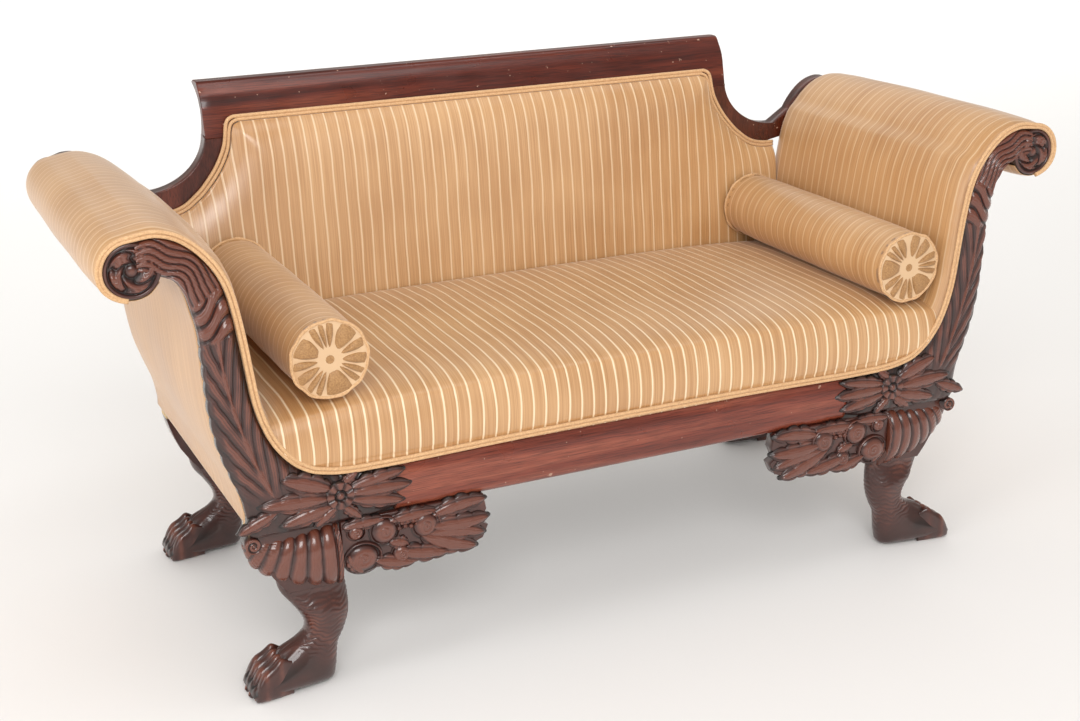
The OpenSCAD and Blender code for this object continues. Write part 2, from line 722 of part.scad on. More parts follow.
// Line of a band that runs round the back, a given width in from the edge of its wood:
// shares of the way from the crest rail's end out to the scoop, and from the scoop up to the top
back_edge_share = [
    [-0.105, 1], [-0.035, 0.967], [-0.003, 0.894], [0.014, 0.788], [0.042, 0.675], [0.105, 0.543],
    [0.182, 0.424], [0.259, 0.331], [0.357, 0.225], [0.455, 0.146], [0.559, 0.073], [0.678, 0.026],
    [0.818, 0.003], [0.958, 0]
];
crest_show_h = 55;
scoop_x = crest_x + scoop_w;
function back_edge(band) = [
    for (s = back_edge_share)
        [
            mix(crest_x - band, scoop_x, s[0]),
            mix(scoop_z - band, crest_z - crest_show_h + band_w - band, s[1])
        ]
];

// Back pad: upright stripes of padding, full in the middle and thin at its sewn edge
seat_tuck = 11;
pad_edge = back_edge(band_w + welt_w);
pad_top_z = pad_edge[0][1];
pad_low_z = lower_rail_z + lower_rail_h + seat_tuck;
pad_edge_t = 6;
pad_edge_fall = 30;
pad_column_share = [0, 0.25, 0.48, 0.68, 0.85];
pad_row_share = [0, 0.12, 0.26, 0.42, 0.58, 0.72, 0.84, 0.93, 0.985, 1];
pad_side_share = 0.85;
pad_side_gap = arm_pad_t * pad_side_share;
pad_side_play = 2;
arm_side_table = [for (i = [shoulder:elbow + 2]) [arm_inner[i][0] - pad_side_gap, arm_inner[i][1]]];
pad_half_w = arm_x(scoop_z - band_w - welt_w) - pad_side_gap - pad_side_play;
pad_columns = concat(
    [for (s = pad_column_share) s * pad_edge[0][0]],
    [for (i = [0:len(pad_edge) - 2]) pad_edge[i][0]],
    [pad_half_w]
);
function pad_low(x) = max(pad_low_z, lookup(x, arm_side_table) + clearance);
function pad_top(x) = lookup(x, pad_edge);
function pad_full(x, z) =
    let (gap = min(concat([pad_top_z - z], [for (p = pad_edge) norm([x, z] - p)])))
    pad_edge_t + (back_pad_t - pad_edge_t)
        * (1 - exp(-max(gap, 0) / pad_edge_fall)) * (1 - pow(x / pad_half_w, 8) / 3);
function pad_column(x) =
    let (low = pad_low(abs(x)), top = pad_top(abs(x)))
    [
        for (s = pad_row_share) let (z = mix(low, top, s))
            [x, stile_front(z) - 2 * web_t - clearance - pad_full(abs(x), z), z],
        for (s = reversed(pad_row_share)) let (z = mix(low, top, s))
            [x, stile_front(z) - 2 * web_t - clearance, z]
    ];
module back_pad() {
    color(satin) placed() skin([
        for (x = concat(-reversed(pad_columns), [for (i = [1:len(pad_columns) - 1]) pad_columns[i]]))
            pad_column(x)
    ]);
}

// Fabric over the outside of the back
outside_t = 3;
outside_margin = 24;
outside_steps = 12;
function scoop_line(x, band) =
    neck_z - (neck_z - scoop_z + band)
        * sqrt(max(0, 1 - pow((scoop_x - x) / (scoop_w + band), 2)));
outside_half = concat(
    [[corner_x - outside_margin, rail_top_z + outside_margin]],
    [for (i = [2:4]) [arm_x(stile_low[i]) - arm_gap - outside_margin / 2, stile_low[i]]],
    [
        for (k = [0:outside_steps])
            let (x = mix(pad_half_w - outside_margin / 2, crest_x - outside_margin, k / outside_steps))
            [x, min(scoop_line(x, outside_margin), crest_low_z - overrun)]
    ]
);
module outside_back() {
    color(satin) placed() leaning(stile_t + clearance, stile_t + outside_t)
        polygon([for (p = concat(outside_half, mirrored(outside_half))) [p[0], up_stile(p[1])]]);
}

// Seat support: webbing under the rails, coil springs, burlap over them
spring_columns = 4;
spring_rows = 3;
spring_pitch_x = 276;
spring_pitch_y = 145;
web_pitch = 92;
web_count_x = 11;
web_count_y = 5;
web_margin = 4;
module seat_webbing() {
    color(jute) placed() {
        for (i = [0:web_count_x - 1])
            translate([
                (i - (web_count_x - 1) / 2) * web_pitch - web_w / 2,
                post_front_y + web_margin, rail_low_z - web_t
            ])
                cube([web_w, frame_d - post_front_y - 2 * web_margin, web_t]);
        for (i = [0:web_count_y - 1])
            translate([
                -side_outer_x + web_margin,
                frame_mid_y + (i - (web_count_y - 1) / 2) * web_pitch - web_w / 2, rail_low_z - 2 * web_t
            ])
                cube([2 * (side_outer_x - web_margin), web_w, web_t]);
    }
}
cover_margin = 3;
module dust_cover() {
    color(cambric) placed() translate([0, 0, rail_low_z - 3 * web_t]) {
        translate([-corner_x + overrun, post_front_y + cover_margin, 0])
            cube([2 * (corner_x - overrun), frame_d - post_front_y - 2 * cover_margin, web_t - clearance]);
        translate([-side_outer_x + cover_margin, rail_back_y + overrun, 0])
            cube([
                2 * (side_outer_x - cover_margin), rear_front_y - rail_back_y - 2 * overrun, web_t - clearance
            ]);
    }
}
spring_segments = 8;
wire_sides = 4;
function coil_ring(i, count) =
    let (
        turn = 360 * i / spring_segments, r = (spring_d - wire_d) / 2,
        z = wire_d / 2 + (spring_h - wire_d) * i / count
    )
    [
        for (k = [0:wire_sides - 1]) let (a = 360 * k / wire_sides + 45, w = wire_d / sqrt(2) * cos(a))
            [(r + w) * cos(turn), (r + w) * sin(turn), z + wire_d / sqrt(2) * sin(a)]
    ];
module coil_spring() {
    count = spring_turns * spring_segments;
    skin([for (i = [0:count]) coil_ring(i, count)]);
}
module seat_springs() {
    color(steel) placed()
        for (i = [0:spring_columns - 1], j = [0:spring_rows - 1])
            translate([
                (i - (spring_columns - 1) / 2) * spring_pitch_x,
                frame_mid_y + (j - (spring_rows - 1) / 2) * spring_pitch_y, rail_low_z
            ])
                coil_spring();
}
burlap_t = 2;
burlap_z = rail_low_z + spring_h;
burlap_slope = 103;
burlap_seat = 8;
burlap_end_share = 0.3;
function burlap_corner(inset, z) = [
    side_rail_x + burlap_seat - inset, rail_back_y + clearance + inset * burlap_end_share,
    rear_front_y - clearance - inset * burlap_end_share, z
];
// A sheet stretched over the springs: a shallow tray, upside down
module frustum(low, high) {
    function rectangle(c) = [
        [-c[0], c[1], c[3]], [c[0], c[1], c[3]], [c[0], c[2], c[3]], [-c[0], c[2], c[3]]
    ];
    skin([rectangle(low), rectangle(high)]);
}
module seat_burlap() {
    color(linen) placed() difference() {
        frustum(burlap_corner(0, rail_top_z), burlap_corner(burlap_slope, burlap_z + burlap_t));
        frustum(
            burlap_corner(burlap_t, rail_top_z - clearance),
            burlap_corner(burlap_slope + burlap_t, burlap_z + clearance / 3)
        );
    }
}

// Seat cover with its padding: rounded over the front, crowned, drawn in along the arms
seat_y0 = 5;
seat_y1 = stile_front(pad_low_z) - 2 * web_t - back_pad_t - 2 * clearance;
seat_crown_z = rail_z + seat_h;
seat_rise = seat_crown_z - rail_z - show_rail_h;
seat_crown_h = 22;
seat_edge_z = seat_crown_z - seat_crown_h;
seat_side_wall = 5;
seat_profile_share = [
    [0, 0.55], [0.008, 0.72], [0.022, 0.82], [0.046, 0.88], [0.088, 0.93], [0.145, 0.965],
    [0.25, 0.995], [0.42, 1], [0.6, 1], [0.78, 0.98], [0.94, 0.93], [1, 0.87]
];
seat_row_share = [1, 0.985, 0.965, 0.94, 0.91, 0.86, 0.79, 0.6, 0.3];
seat_floor_z = burlap_z + burlap_t + 2 * clearance;
stuffing_t = 18;
stuffing_x = 455;
stuffing_inset = 86;
stuffing_share = 0.72;
stuffing_y0 = rail_back_y + stuffing_inset;
stuffing_y1 = mix(seat_y0, seat_y1, stuffing_share);
arm_floor_table = [for (i = [shoulder:len(arm_inner) - 1]) arm_inner[i]];
arm_side_play = 2.8;
stuffing_play = 60;
function pad_line(y) =
    let (share = lookup((y - arm_pad_y0) / (frame_d - arm_pad_y0), pad_depth_share))
    [
        for (k = [0:elbow + 1 - shoulder])
            pad_path[k] + left_normal(pad_path, k) * (arm_side_play + arm_pad_t * share * pad_path_share[k])
    ];
function seat_floor(x, y) =
    y < rail_back_y ? show_top(x) + overrun
    : abs(x) < stuffing_x + welt_w && y > stuffing_y0 - stuffing_play && y < stuffing_y1 + stuffing_play
        ? seat_floor_z + stuffing_t
        : seat_floor_z;
function seat_low(x, y) =
    let (line = pad_line(y))
    max(
        seat_floor(x, y), lookup(abs(x), arm_floor_table) + clearance,
        abs(x) < line[0][0] - arm_pad_t ? 0 : lookup(abs(x), line) + clearance
    );
edge_fall_share = 0.8;
seat_flatness = 4.5;
function seat_edge(share) = seat_edge_z - (1 - share) * seat_rise * edge_fall_share;
function seat_side(y, share) = lookup(seat_edge(share), [for (p = pad_line(y)) [p[1], p[0]]]);
function seat_top(x, y, share) =
    let (e = seat_edge(share) + seat_side_wall, u = min(abs(x) / seat_side(y, share), 1))
    e + (rail_z + show_rail_h + share * seat_rise - e) * (1 - pow(u, seat_flatness));
seat_across_share = concat([for (s = seat_row_share) -s], [0], reversed(seat_row_share));
module seat_cover() {
    color(satin) placed() skin([
        for (p = seat_profile_share)
            let (y = mix(seat_y0, seat_y1, p[0]), half = seat_side(y, p[1]))
            [
                for (s = seat_across_share) [s * half, y, seat_top(s * half, y, p[1])],
                for (s = reversed(seat_across_share))
                    let (x = s * half, top = seat_top(x, y, p[1]) - seat_side_wall / 2)
                    [x, y, min(seat_low(x, y), top)]
            ]
    ]);
}
module seat_stuffing() {
    color(linen) placed() translate([-stuffing_x, stuffing_y0, seat_floor_z - clearance])
        cube([2 * stuffing_x, stuffing_y1 - stuffing_y0, stuffing_t]);
}

// Double welts, flat bands round the upholstery
welt_t = 4;
front_welt_path = concat(
    [for (i = [1:len(arm_inner) - 5]) arm_inner[i]],
    [for (k = [show_steps / 2:-1:0]) let (x = leaf_x * 2 * k / show_steps) [x, show_top(x)]]
);
function front_welt_line(inset) = [
    for (i = [0:len(front_welt_path) - 2]) front_welt_path[i] - left_normal(front_welt_path, i) * inset
];
front_welt_half = front_welt_line(clearance);
front_welt_inner = front_welt_line(welt_w);
module front_welt() {
    color(satin_pale) placed() board(seat_y0 - clearance - welt_t, seat_y0 - clearance)
        polygon(concat(
            front_welt_half, mirrored(front_welt_half),
            [for (p = front_welt_inner) [-p[0], p[1]]], reversed(front_welt_inner)
        ));
}
back_welt_t = 8;
back_welt_outer = reversed(back_edge(band_w));
back_welt_inner = reversed(back_edge(band_w + welt_w - clearance));
module back_welt() {
    color(satin_pale) placed() leaning(-clearance - back_welt_t, -clearance)
        polygon([
            for (p = concat(
                back_welt_outer, mirrored(back_welt_outer),
                [for (q = back_welt_inner) [-q[0], q[1]]], reversed(back_welt_inner)
            )) [p[0], up_stile(p[1])]
        ]);
}

// Bolsters: piped rims, ends gathered to a covered button
bolster_touch_share = 0.74;
bolster_back_y = stile_front(seat_crown_z) - 2 * web_t - back_pad_t - 2 * clearance;
bolster_y = bolster_back_y - bolster_l;
bolster_arm_x = arm_x(seat_crown_z + bolster_touch_share * bolster_r);
bolster_x = bolster_arm_x - arm_pad_t - 3 * clearance - bolster_r;
// Height of the centre of a bolster that lies on the seat with its axis at x
touch_shares = [-0.5, -0.4, -0.3, -0.2, -0.1, 0, 0.1, 0.2, 0.3, 0.4, 0.5];
function bolster_z(x) = clearance + max([
    for (d = touch_shares) seat_top(x + bolster_r * d, frame_mid_y, 1) + bolster_r * sqrt(1 - d * d)
]);
bolster_sides = 3 * gathers;
// Depth of a ring from the end and its radius, shares of the radius, and how deep it is gathered
bolster_end_share = [
    [0.1, 0.22, 0], [0.075, 0.5, 0.022], [0.04, 0.8, 0.02], [0.035, 0.92, 0],
    [0, 0.955, 0], [0.04, 1, 0], [0.085, 0.985, 0], [0.115, 0.965, 0], [0.7, 0.985, 0]
];
function bolster_ring(y, r, pleat) = [
    for (i = [0:bolster_sides - 1])
        let (a = 360 * i / bolster_sides)
        [r * sin(a), y + pleat * cos(gathers * a), r * cos(a)]
];
module bolster(x) {
    rings = [for (s = bolster_end_share) s * bolster_r];
    color(satin) placed() translate([x, 0, bolster_z(x)]) skin(concat(
        [for (r = rings) bolster_ring(bolster_y + r[0], r[1], r[2])],
        [bolster_ring(bolster_y + bolster_l / 2, bolster_r, 0)],
        [for (r = reversed(rings)) bolster_ring(bolster_y + bolster_l - r[0], r[1], -r[2])]
    ));
}
button_r = 0.21 * bolster_r;
button_h = 0.1 * bolster_r;
button_profile_share = [[0, 0], [0.9, 0], [1, 0.3], [0.8, 0.75], [0.45, 0.95], [0, 1]];
module bolster_button() {
    rotate([90, 0, 0]) rotate_extrude()
        polygon([for (s = button_profile_share) [s[0] * button_r, s[1] * button_h]]);
}
module bolster_buttons(x) {
    inset = bolster_end_share[0][0] * bolster_r - clearance;
    color(satin_pale) placed() translate([x, 0, bolster_z(x)]) {
        translate([0, bolster_y + inset, 0]) bolster_button();
        translate([0, bolster_y + bolster_l - inset, 0]) mirror([0, 1, 0]) bolster_button();
    }
}
module left_bolster() other_side() bolster(bolster_x - bolster_gap);
module right_bolster() bolster(bolster_x);
module left_bolster_buttons() other_side() bolster_buttons(bolster_x - bolster_gap);
module right_bolster_buttons() bolster_buttons(bolster_x);

front_rail();
show_rail();
rear_rail();
left_side_rail();
right_side_rail();
corner_blocks();
corner_screws();
rail_dowels();
front_left_leg();
front_right_leg();
rear_left_leg();
rear_right_leg();
left_fruit_bracket();
right_fruit_bracket();
left_arm_facing();
right_arm_facing();
left_front_post();
right_front_post();
left_rear_post();
right_rear_post();
left_scroll_rail();
right_scroll_rail();
left_arm_slats();
right_arm_slats();
left_arm_pad();
right_arm_pad();
left_outer_panel();
right_outer_panel();
crest_rail();
left_back_stile();
right_back_stile();
back_lower_rail();
back_upright();
back_dowels();
back_webbing();
back_pad();
outside_back();
seat_webbing();
seat_springs();
seat_burlap();
seat_stuffing();
seat_cover();
front_welt();
back_welt();
dust_cover();
left_bolster();
right_bolster();
left_bolster_buttons();
right_bolster_buttons();
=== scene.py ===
"""A scroll-arm settee: carved mahogany, sprung seat, striped satin and two loose bolsters."""

import bpy
import numpy as np
from mathutils import Matrix, Vector


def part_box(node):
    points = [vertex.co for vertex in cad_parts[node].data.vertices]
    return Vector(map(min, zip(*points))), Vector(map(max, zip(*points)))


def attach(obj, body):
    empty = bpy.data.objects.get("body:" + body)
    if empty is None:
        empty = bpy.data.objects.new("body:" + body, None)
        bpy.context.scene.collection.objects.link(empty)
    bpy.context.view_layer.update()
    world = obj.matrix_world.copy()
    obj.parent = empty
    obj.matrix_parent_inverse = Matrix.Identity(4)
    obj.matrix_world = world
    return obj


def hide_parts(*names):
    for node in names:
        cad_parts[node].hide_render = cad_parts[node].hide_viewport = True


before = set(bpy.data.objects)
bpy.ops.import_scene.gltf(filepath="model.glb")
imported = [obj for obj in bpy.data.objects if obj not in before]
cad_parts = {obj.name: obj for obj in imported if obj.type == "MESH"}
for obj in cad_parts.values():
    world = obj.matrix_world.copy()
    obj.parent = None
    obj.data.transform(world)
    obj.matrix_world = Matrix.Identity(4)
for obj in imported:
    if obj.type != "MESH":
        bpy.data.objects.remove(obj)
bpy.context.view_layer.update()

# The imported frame: its nodes give the places that every piece is worked out from.
# Lengths below are in millimetres, depths are measured back from the front of the carved facings.
mm = 0.001
facing_t = 26
front_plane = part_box("left_front_post")[0].y / mm - facing_t
rail_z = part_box("show_rail")[0].z / mm
leaf_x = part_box("show_rail")[1].x / mm
scroll_low, scroll_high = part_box("right_scroll_rail")
scroll_x = (scroll_low.x + scroll_high.x) / 2 / mm
scroll_z = (scroll_low.z + scroll_high.z) / 2 / mm
frame_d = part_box("right_rear_post")[1].y / mm - front_plane
flare = scroll_x - leaf_x
rise = scroll_z - rail_z


def linear(hex_colour, alpha=1.0):
    """An sRGB hex colour as linear RGBA: ((c + 0.055) / 1.055) ^ 2.4, or c / 12.92 when dark."""
    code = hex_colour.lstrip("#")
    c = np.array([int(code[i:i + 2], 16) for i in (0, 2, 4)]) / 255
    return (*np.where(c > 0.04045, ((c + 0.055) / 1.055) ** 2.4, c / 12.92), alpha)


def add_node(tree, kind, feeds=None, **settings):
    """Adds a shader node. Feeds gives sockets, by name or place, a source or a fixed value; settings are
    properties or sockets by name."""
    made = tree.nodes.new(kind)
    for key, value in settings.items():
        if hasattr(made, key):
            setattr(made, key, value)
        else:
            made.inputs[key.replace("_", " ")].default_value = value
    for socket, source in (feeds or {}).items():
        if isinstance(source, bpy.types.NodeSocket):
            tree.links.new(source, made.inputs[socket])
        else:
            made.inputs[socket].default_value = source
    return made


def map_level(tree, value, low, high, to_low=0.0, to_high=1.0, **settings):
    """Value from low to high drawn out to run from to_low to to_high, and held beyond them."""
    settings.update(From_Min=low, From_Max=high, To_Min=to_low, To_Max=to_high)
    return add_node(tree, "ShaderNodeMapRange", {"Value": value}, **settings).outputs["Result"]


def colour_bands(tree, source, stops):
    """A colour ramp fed by source, with stops of (place from 0 to 1, sRGB hex)."""
    ramp = add_node(tree, "ShaderNodeValToRGB", {"Fac": source})
    elements = ramp.color_ramp.elements
    for k, (place, colour) in enumerate(stops):
        stop = elements[k] if k < 2 else elements.new(place)
        stop.position = place
        stop.color = linear(colour)
    return ramp.outputs["Color"]


def new_finish(name, **surface):
    """A material with one Principled surface, whose plain values are set on its own sockets. Gives with
    them the coordinates on the object, which its patterns follow."""
    finish = bpy.data.materials.new(name)
    finish.use_nodes = True
    tree = finish.node_tree
    shader = tree.nodes["Principled BSDF"]
    for key, value in surface.items():
        shader.inputs[key.replace("_", " ")].default_value = value
    return finish, tree, shader, add_node(tree, "ShaderNodeTexCoord").outputs["Object"]


# The studio: a pale floor that runs out of sight, a glow that is brightest at the horizon, a broad key
# light, weaker ones at the left and over the crest, and one that whitens the far floor.
# The camera stands in front, a little beyond the left arm, and looks down by about 20 degrees.
photo_w, focal_length = 1080, 1652.32
camera_tilt, camera_turn, camera_roll = np.radians([19.612, 25.114, -0.780])
ahead = np.array([
    np.sin(camera_turn) * np.cos(camera_tilt), np.cos(camera_turn) * np.cos(camera_tilt),
    -np.sin(camera_tilt)
])
level_right = np.array([np.cos(camera_turn), -np.sin(camera_turn), 0])
level_up = np.cross(level_right, ahead)
right = np.cos(camera_roll) * level_right + np.sin(camera_roll) * level_up
up = -np.sin(camera_roll) * level_right + np.cos(camera_roll) * level_up
camera = bpy.data.objects.new("photo_camera", bpy.data.cameras.new("photo_camera"))
bpy.context.scene.collection.objects.link(camera)
camera.data.sensor_width = 36
camera.data.lens = 36 * (focal_length / photo_w)
camera.data.clip_end = 60
eye = np.array([-1.1857, -2.1667 + front_plane * mm, 1.3313])
axes = np.column_stack([right, up, -ahead])
camera.matrix_world = Matrix.Translation(Vector(eye)) @ Matrix(axes.tolist()).to_4x4()
bpy.context.scene.camera = camera

floor_mesh = bpy.data.meshes.new("studio_floor")
floor_mesh.from_pydata([(-30, -30, 0), (30, -30, 0), (30, 30, 0), (-30, 30, 0)], [], [(0, 1, 2, 3)])
studio_floor = bpy.data.objects.new("studio_floor", floor_mesh)
bpy.context.scene.collection.objects.link(studio_floor)
floor_finish, floor_tree, floor_shader, floor_place = new_finish(
    "matt_floor", Roughness=0.95, Specular_IOR_Level=0.1
)
# Painted light: the floor's colour runs from light grey in front to near white at the back, standing for the
# brighter light on the far floor.
floor_depth = add_node(floor_tree, "ShaderNodeSeparateXYZ", {0: floor_place}).outputs["Y"]
floor_light_fade = map_level(floor_tree, floor_depth, -1.5, 4.0)
floor_colour = colour_bands(floor_tree, floor_light_fade, [(0, "#e3e0de"), (1, "#fcfcfb")])
floor_tree.links.new(floor_colour, floor_shader.inputs["Base Color"])
floor_mesh.materials.append(floor_finish)

glow = bpy.data.worlds.new("studio_glow")
glow.use_nodes = True
bpy.context.scene.world = glow
glow_tree = glow.node_tree
glow_light = glow_tree.nodes["Background"]
glow_light.inputs["Color"].default_value = linear("#fffdfa")
glow_way = add_node(glow_tree, "ShaderNodeTexCoord").outputs["Generated"]
glow_up = add_node(glow_tree, "ShaderNodeSeparateXYZ", {0: glow_way}).outputs["Z"]
glow_level = map_level(glow_tree, glow_up, 0.0, 0.9, 2.1, 0.42)
glow_tree.links.new(glow_level, glow_light.inputs["Strength"])
seen_white = add_node(glow_tree, "ShaderNodeBackground", Color=linear("#ffffff"), Strength=1.0)
seen_dim = add_node(glow_tree, "ShaderNodeBackground", Color=linear("#fff8f0"), Strength=0.34)
ray_kind = add_node(glow_tree, "ShaderNodeLightPath")
dim_choice = add_node(
    glow_tree, "ShaderNodeMixShader",
    {0: ray_kind.outputs["Is Glossy Ray"], 1: glow_light.outputs[0], 2: seen_dim.outputs[0]}
)
glow_choice = add_node(
    glow_tree, "ShaderNodeMixShader",
    {0: ray_kind.outputs["Is Camera Ray"], 1: dim_choice.outputs[0], 2: seen_white.outputs[0]}
)
glow_tree.links.new(glow_choice.outputs[0], glow_tree.nodes["World Output"].inputs["Surface"])

# Lamp name, place in metres, the point it faces, width and height in metres, power in watts
studio_lamps = [
    ("key_window", (-1.5, -3.5, 3.0), (0.1, 0, 0.4), 2.4, 1.6, 92),
    ("left_window", (-4.0, -0.9, 1.5), (0, 0, 0.4), 2.0, 2.0, 26),
    ("crest_strip", (0.3, -0.6, 3.0), (0, 0.1, 0.6), 3.0, 0.4, 10),
    ("backdrop_light", (2.6, 6.6, 4.2), (2.6, 7.0, 0), 7.0, 6.0, 105),
]
for lamp_name, lamp_at, lamp_faces, lamp_w, lamp_h, lamp_watts in studio_lamps:
    lamp_data = bpy.data.lights.new(lamp_name, "AREA")
    lamp_data.shape = "RECTANGLE"
    lamp_data.size = lamp_w
    lamp_data.size_y = lamp_h
    lamp_data.energy = lamp_watts
    lamp = bpy.data.objects.new(lamp_name, lamp_data)
    bpy.context.scene.collection.objects.link(lamp)
    lamp.location = lamp_at
    lamp.rotation_euler = (Vector(lamp_faces) - Vector(lamp_at)).to_track_quat("-Z", "Y").to_euler()

bpy.context.scene.view_settings.view_transform = "Standard"


# Hidden frame and stuffing: sawn poplar joined with beech dowels and steel screws, jute webbing, steel
# springs, burlap and linen. They are the CAD nodes themselves; only their finishes are made here.
def cloudy(tree, place, scale, detail, **settings):
    """The level, from 0 to 1, of soft blotches about 1 / scale metres across."""
    blotches = add_node(tree, "ShaderNodeTexNoise", {"Vector": place}, Scale=scale, Detail=detail, **settings)
    return blotches.outputs["Fac"]


def drawn_out(tree, place, grain_axis, across, along):
    """Coordinates times along on one axis and times across on the others, so that grain runs that way."""
    mapped = add_node(tree, "ShaderNodeMapping", {"Vector": place})
    mapped.inputs["Scale"].default_value = [along if axis == grain_axis else across for axis in range(3)]
    return mapped.outputs[0]


def maths(tree, operation, *terms):
    """One operation on terms that are sources or fixed values."""
    return add_node(tree, "ShaderNodeMath", dict(enumerate(terms)), operation=operation).outputs[0]


def add_ridges(tree, shader, height, strength, distance):
    """Bumps that follow height and stand at most distance metres proud of the surface."""
    ridge = add_node(tree, "ShaderNodeBump", {"Height": height}, Strength=strength, Distance=distance)
    tree.links.new(ridge.outputs[0], shader.inputs["Normal"])


def sawn_wood(name, pale, dark, grain_axis=0):
    """Unfinished wood: dull, with grain bands about 6 mm wide drawn out along one axis."""
    finish, tree, shader, place = new_finish(name, Roughness=0.78, Specular_IOR_Level=0.3)
    grain = cloudy(tree, drawn_out(tree, place, grain_axis, 160.0, 9.0), 1.0, 5.0)
    colour = colour_bands(tree, grain, [(0.3, dark), (0.7, pale)])
    tree.links.new(colour, shader.inputs["Base Color"])
    add_ridges(tree, shader, grain, 0.25, 0.001)
    return finish


def coarse_cloth(name, pale, dark, thread_mm, roughness=0.9):
    """Plain woven cloth: two sets of threads that cross, thread_mm apart, as sine waves."""
    finish, tree, shader, place = new_finish(name, Roughness=roughness, Specular_IOR_Level=0.2)
    waves = []
    for direction in ("X", "Y"):
        waves.append(add_node(
            tree, "ShaderNodeTexWave", {"Vector": place}, wave_type="BANDS", bands_direction=direction,
            Scale=0.31 / (thread_mm * mm), Distortion=0.6, Detail=1.0
        ).outputs["Fac"])
    woven = maths(tree, "MULTIPLY", *waves)
    colour = colour_bands(tree, woven, [(0.1, dark), (0.8, pale)])
    tree.links.new(colour, shader.inputs["Base Color"])
    add_ridges(tree, shader, woven, 0.5, 0.0008)
    return finish


def drawn_steel(name):
    """Bright drawn wire with a little dulling in patches about 20 mm across."""
    finish, tree, shader, place = new_finish(name, Metallic=1.0, Roughness=0.35)
    colour = colour_bands(tree, cloudy(tree, place, 50.0, 3.0), [(0.3, "#7e8185"), (0.7, "#a3a7ab")])
    tree.links.new(colour, shader.inputs["Base Color"])
    return finish


poplar_along = sawn_wood("sawn_poplar_long", "#d3b98c", "#b3976a", 0)
poplar_across = sawn_wood("sawn_poplar_short", "#d3b98c", "#b3976a", 1)
poplar_upright = sawn_wood("sawn_poplar_upright", "#d3b98c", "#b3976a", 2)
node_finish = {
    "front_rail": poplar_along, "rear_rail": poplar_along, "back_lower_rail": poplar_along,
    "left_side_rail": poplar_across, "right_side_rail": poplar_across,
    "left_scroll_rail": poplar_across, "right_scroll_rail": poplar_across,
    "left_arm_slats": poplar_across, "right_arm_slats": poplar_across,
    "left_front_post": poplar_upright, "right_front_post": poplar_upright,
    "left_rear_post": poplar_upright, "right_rear_post": poplar_upright,
    "back_upright": poplar_upright, "corner_blocks": poplar_upright,
    "rail_dowels": sawn_wood("turned_beech_pegs", "#cfaa78", "#b88f5c", 0),
    "back_dowels": sawn_wood("turned_beech_dowels", "#cfaa78", "#b88f5c", 2),
    "corner_screws": drawn_steel("plain_steel_screws"),
    "seat_springs": drawn_steel("spring_wire"),
    "back_webbing": coarse_cloth("jute_webbing_back", "#b9965f", "#8f6d3e", 2.0),
    "seat_webbing": coarse_cloth("jute_webbing_seat", "#b9965f", "#8f6d3e", 2.0),
    "seat_burlap": coarse_cloth("burlap", "#cbb68c", "#a18a5e", 1.6),
    "seat_stuffing": coarse_cloth("stuffing_linen", "#d6c7a4", "#b8a67e", 1.2),
}
for node_name, finish in node_finish.items():
    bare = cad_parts[node_name]
    for place in range(len(bare.data.materials)):
        bare.data.materials[place] = finish


# Show rail: one length of mahogany under the seat, its face rounded from edge to edge and polished.
# The upper edge rises a little towards the middle; nicks show where shoes have caught it.
def outward_skin(name, skins, finish, attribute=None):
    """One mesh of closed skins, each an array of rings x points x 3 in millimetres from the front plane.
    Quads join neighbouring rings, a flat face closes each end, and a skin whose volume, the sum of
    p0 . (p1 x p2) / 6 over its faces, is negative is turned round."""
    corners, sizes, points, offset = [], [], [], 0
    for skin in skins:
        rings = np.asarray(skin, float)
        n, m = rings.shape[:2]
        flat = rings.reshape(-1, 3)
        k, i = np.meshgrid(np.arange(n - 1), np.arange(m), indexing="ij")
        a, b = k * m + i, k * m + (i + 1) % m
        quads = np.stack([a, b, b + m, a + m], -1).reshape(-1, 4)
        first, last = np.arange(m)[::-1], (n - 1) * m + np.arange(m)
        fans = [np.stack([np.full(m - 2, cap[0]), cap[1:-1], cap[2:]], -1) for cap in (first, last)]
        triangles = np.concatenate([quads[:, [0, 1, 2]], quads[:, [0, 2, 3]], *fans])
        p = flat[triangles]
        if np.einsum("ij,ij->i", p[:, 0], np.cross(p[:, 1], p[:, 2])).sum() < 0:
            quads, first, last = quads[:, ::-1], first[::-1], last[::-1]
        corners += [quads.ravel() + offset, first + offset, last + offset]
        sizes += [np.full(len(quads), 4), [m], [m]]
        points.append(flat)
        offset += len(flat)
    points, corners, sizes = np.concatenate(points), np.concatenate(corners), np.concatenate(sizes)
    mesh = bpy.data.meshes.new(name)
    mesh.vertices.add(len(points))
    mesh.vertices.foreach_set("co", ((points + [0, front_plane, 0]) * mm).ravel())
    mesh.loops.add(len(corners))
    mesh.loops.foreach_set("vertex_index", corners)
    mesh.polygons.add(len(sizes))
    mesh.polygons.foreach_set("loop_start", np.concatenate([[0], np.cumsum(sizes)[:-1]]))
    mesh.polygons.foreach_set("use_smooth", sizes == 4)
    mesh.update(calc_edges=True)
    if attribute is not None:
        # The carved depth, which the carved finish paints as shade in the recesses and as highlight on the
        # ridges.
        depth = mesh.attributes.new("carved_depth_shade", "FLOAT", "POINT")
        depth.data.foreach_set("value", np.concatenate([np.ravel(v) for v in attribute]))
    mesh.materials.append(finish)
    piece = bpy.data.objects.new(name, mesh)
    bpy.context.scene.collection.objects.link(piece)
    return piece


def other_side(rings):
    """The same points on the other side: x becomes -x."""
    return np.asarray(rings, float) * [-1, 1, 1]


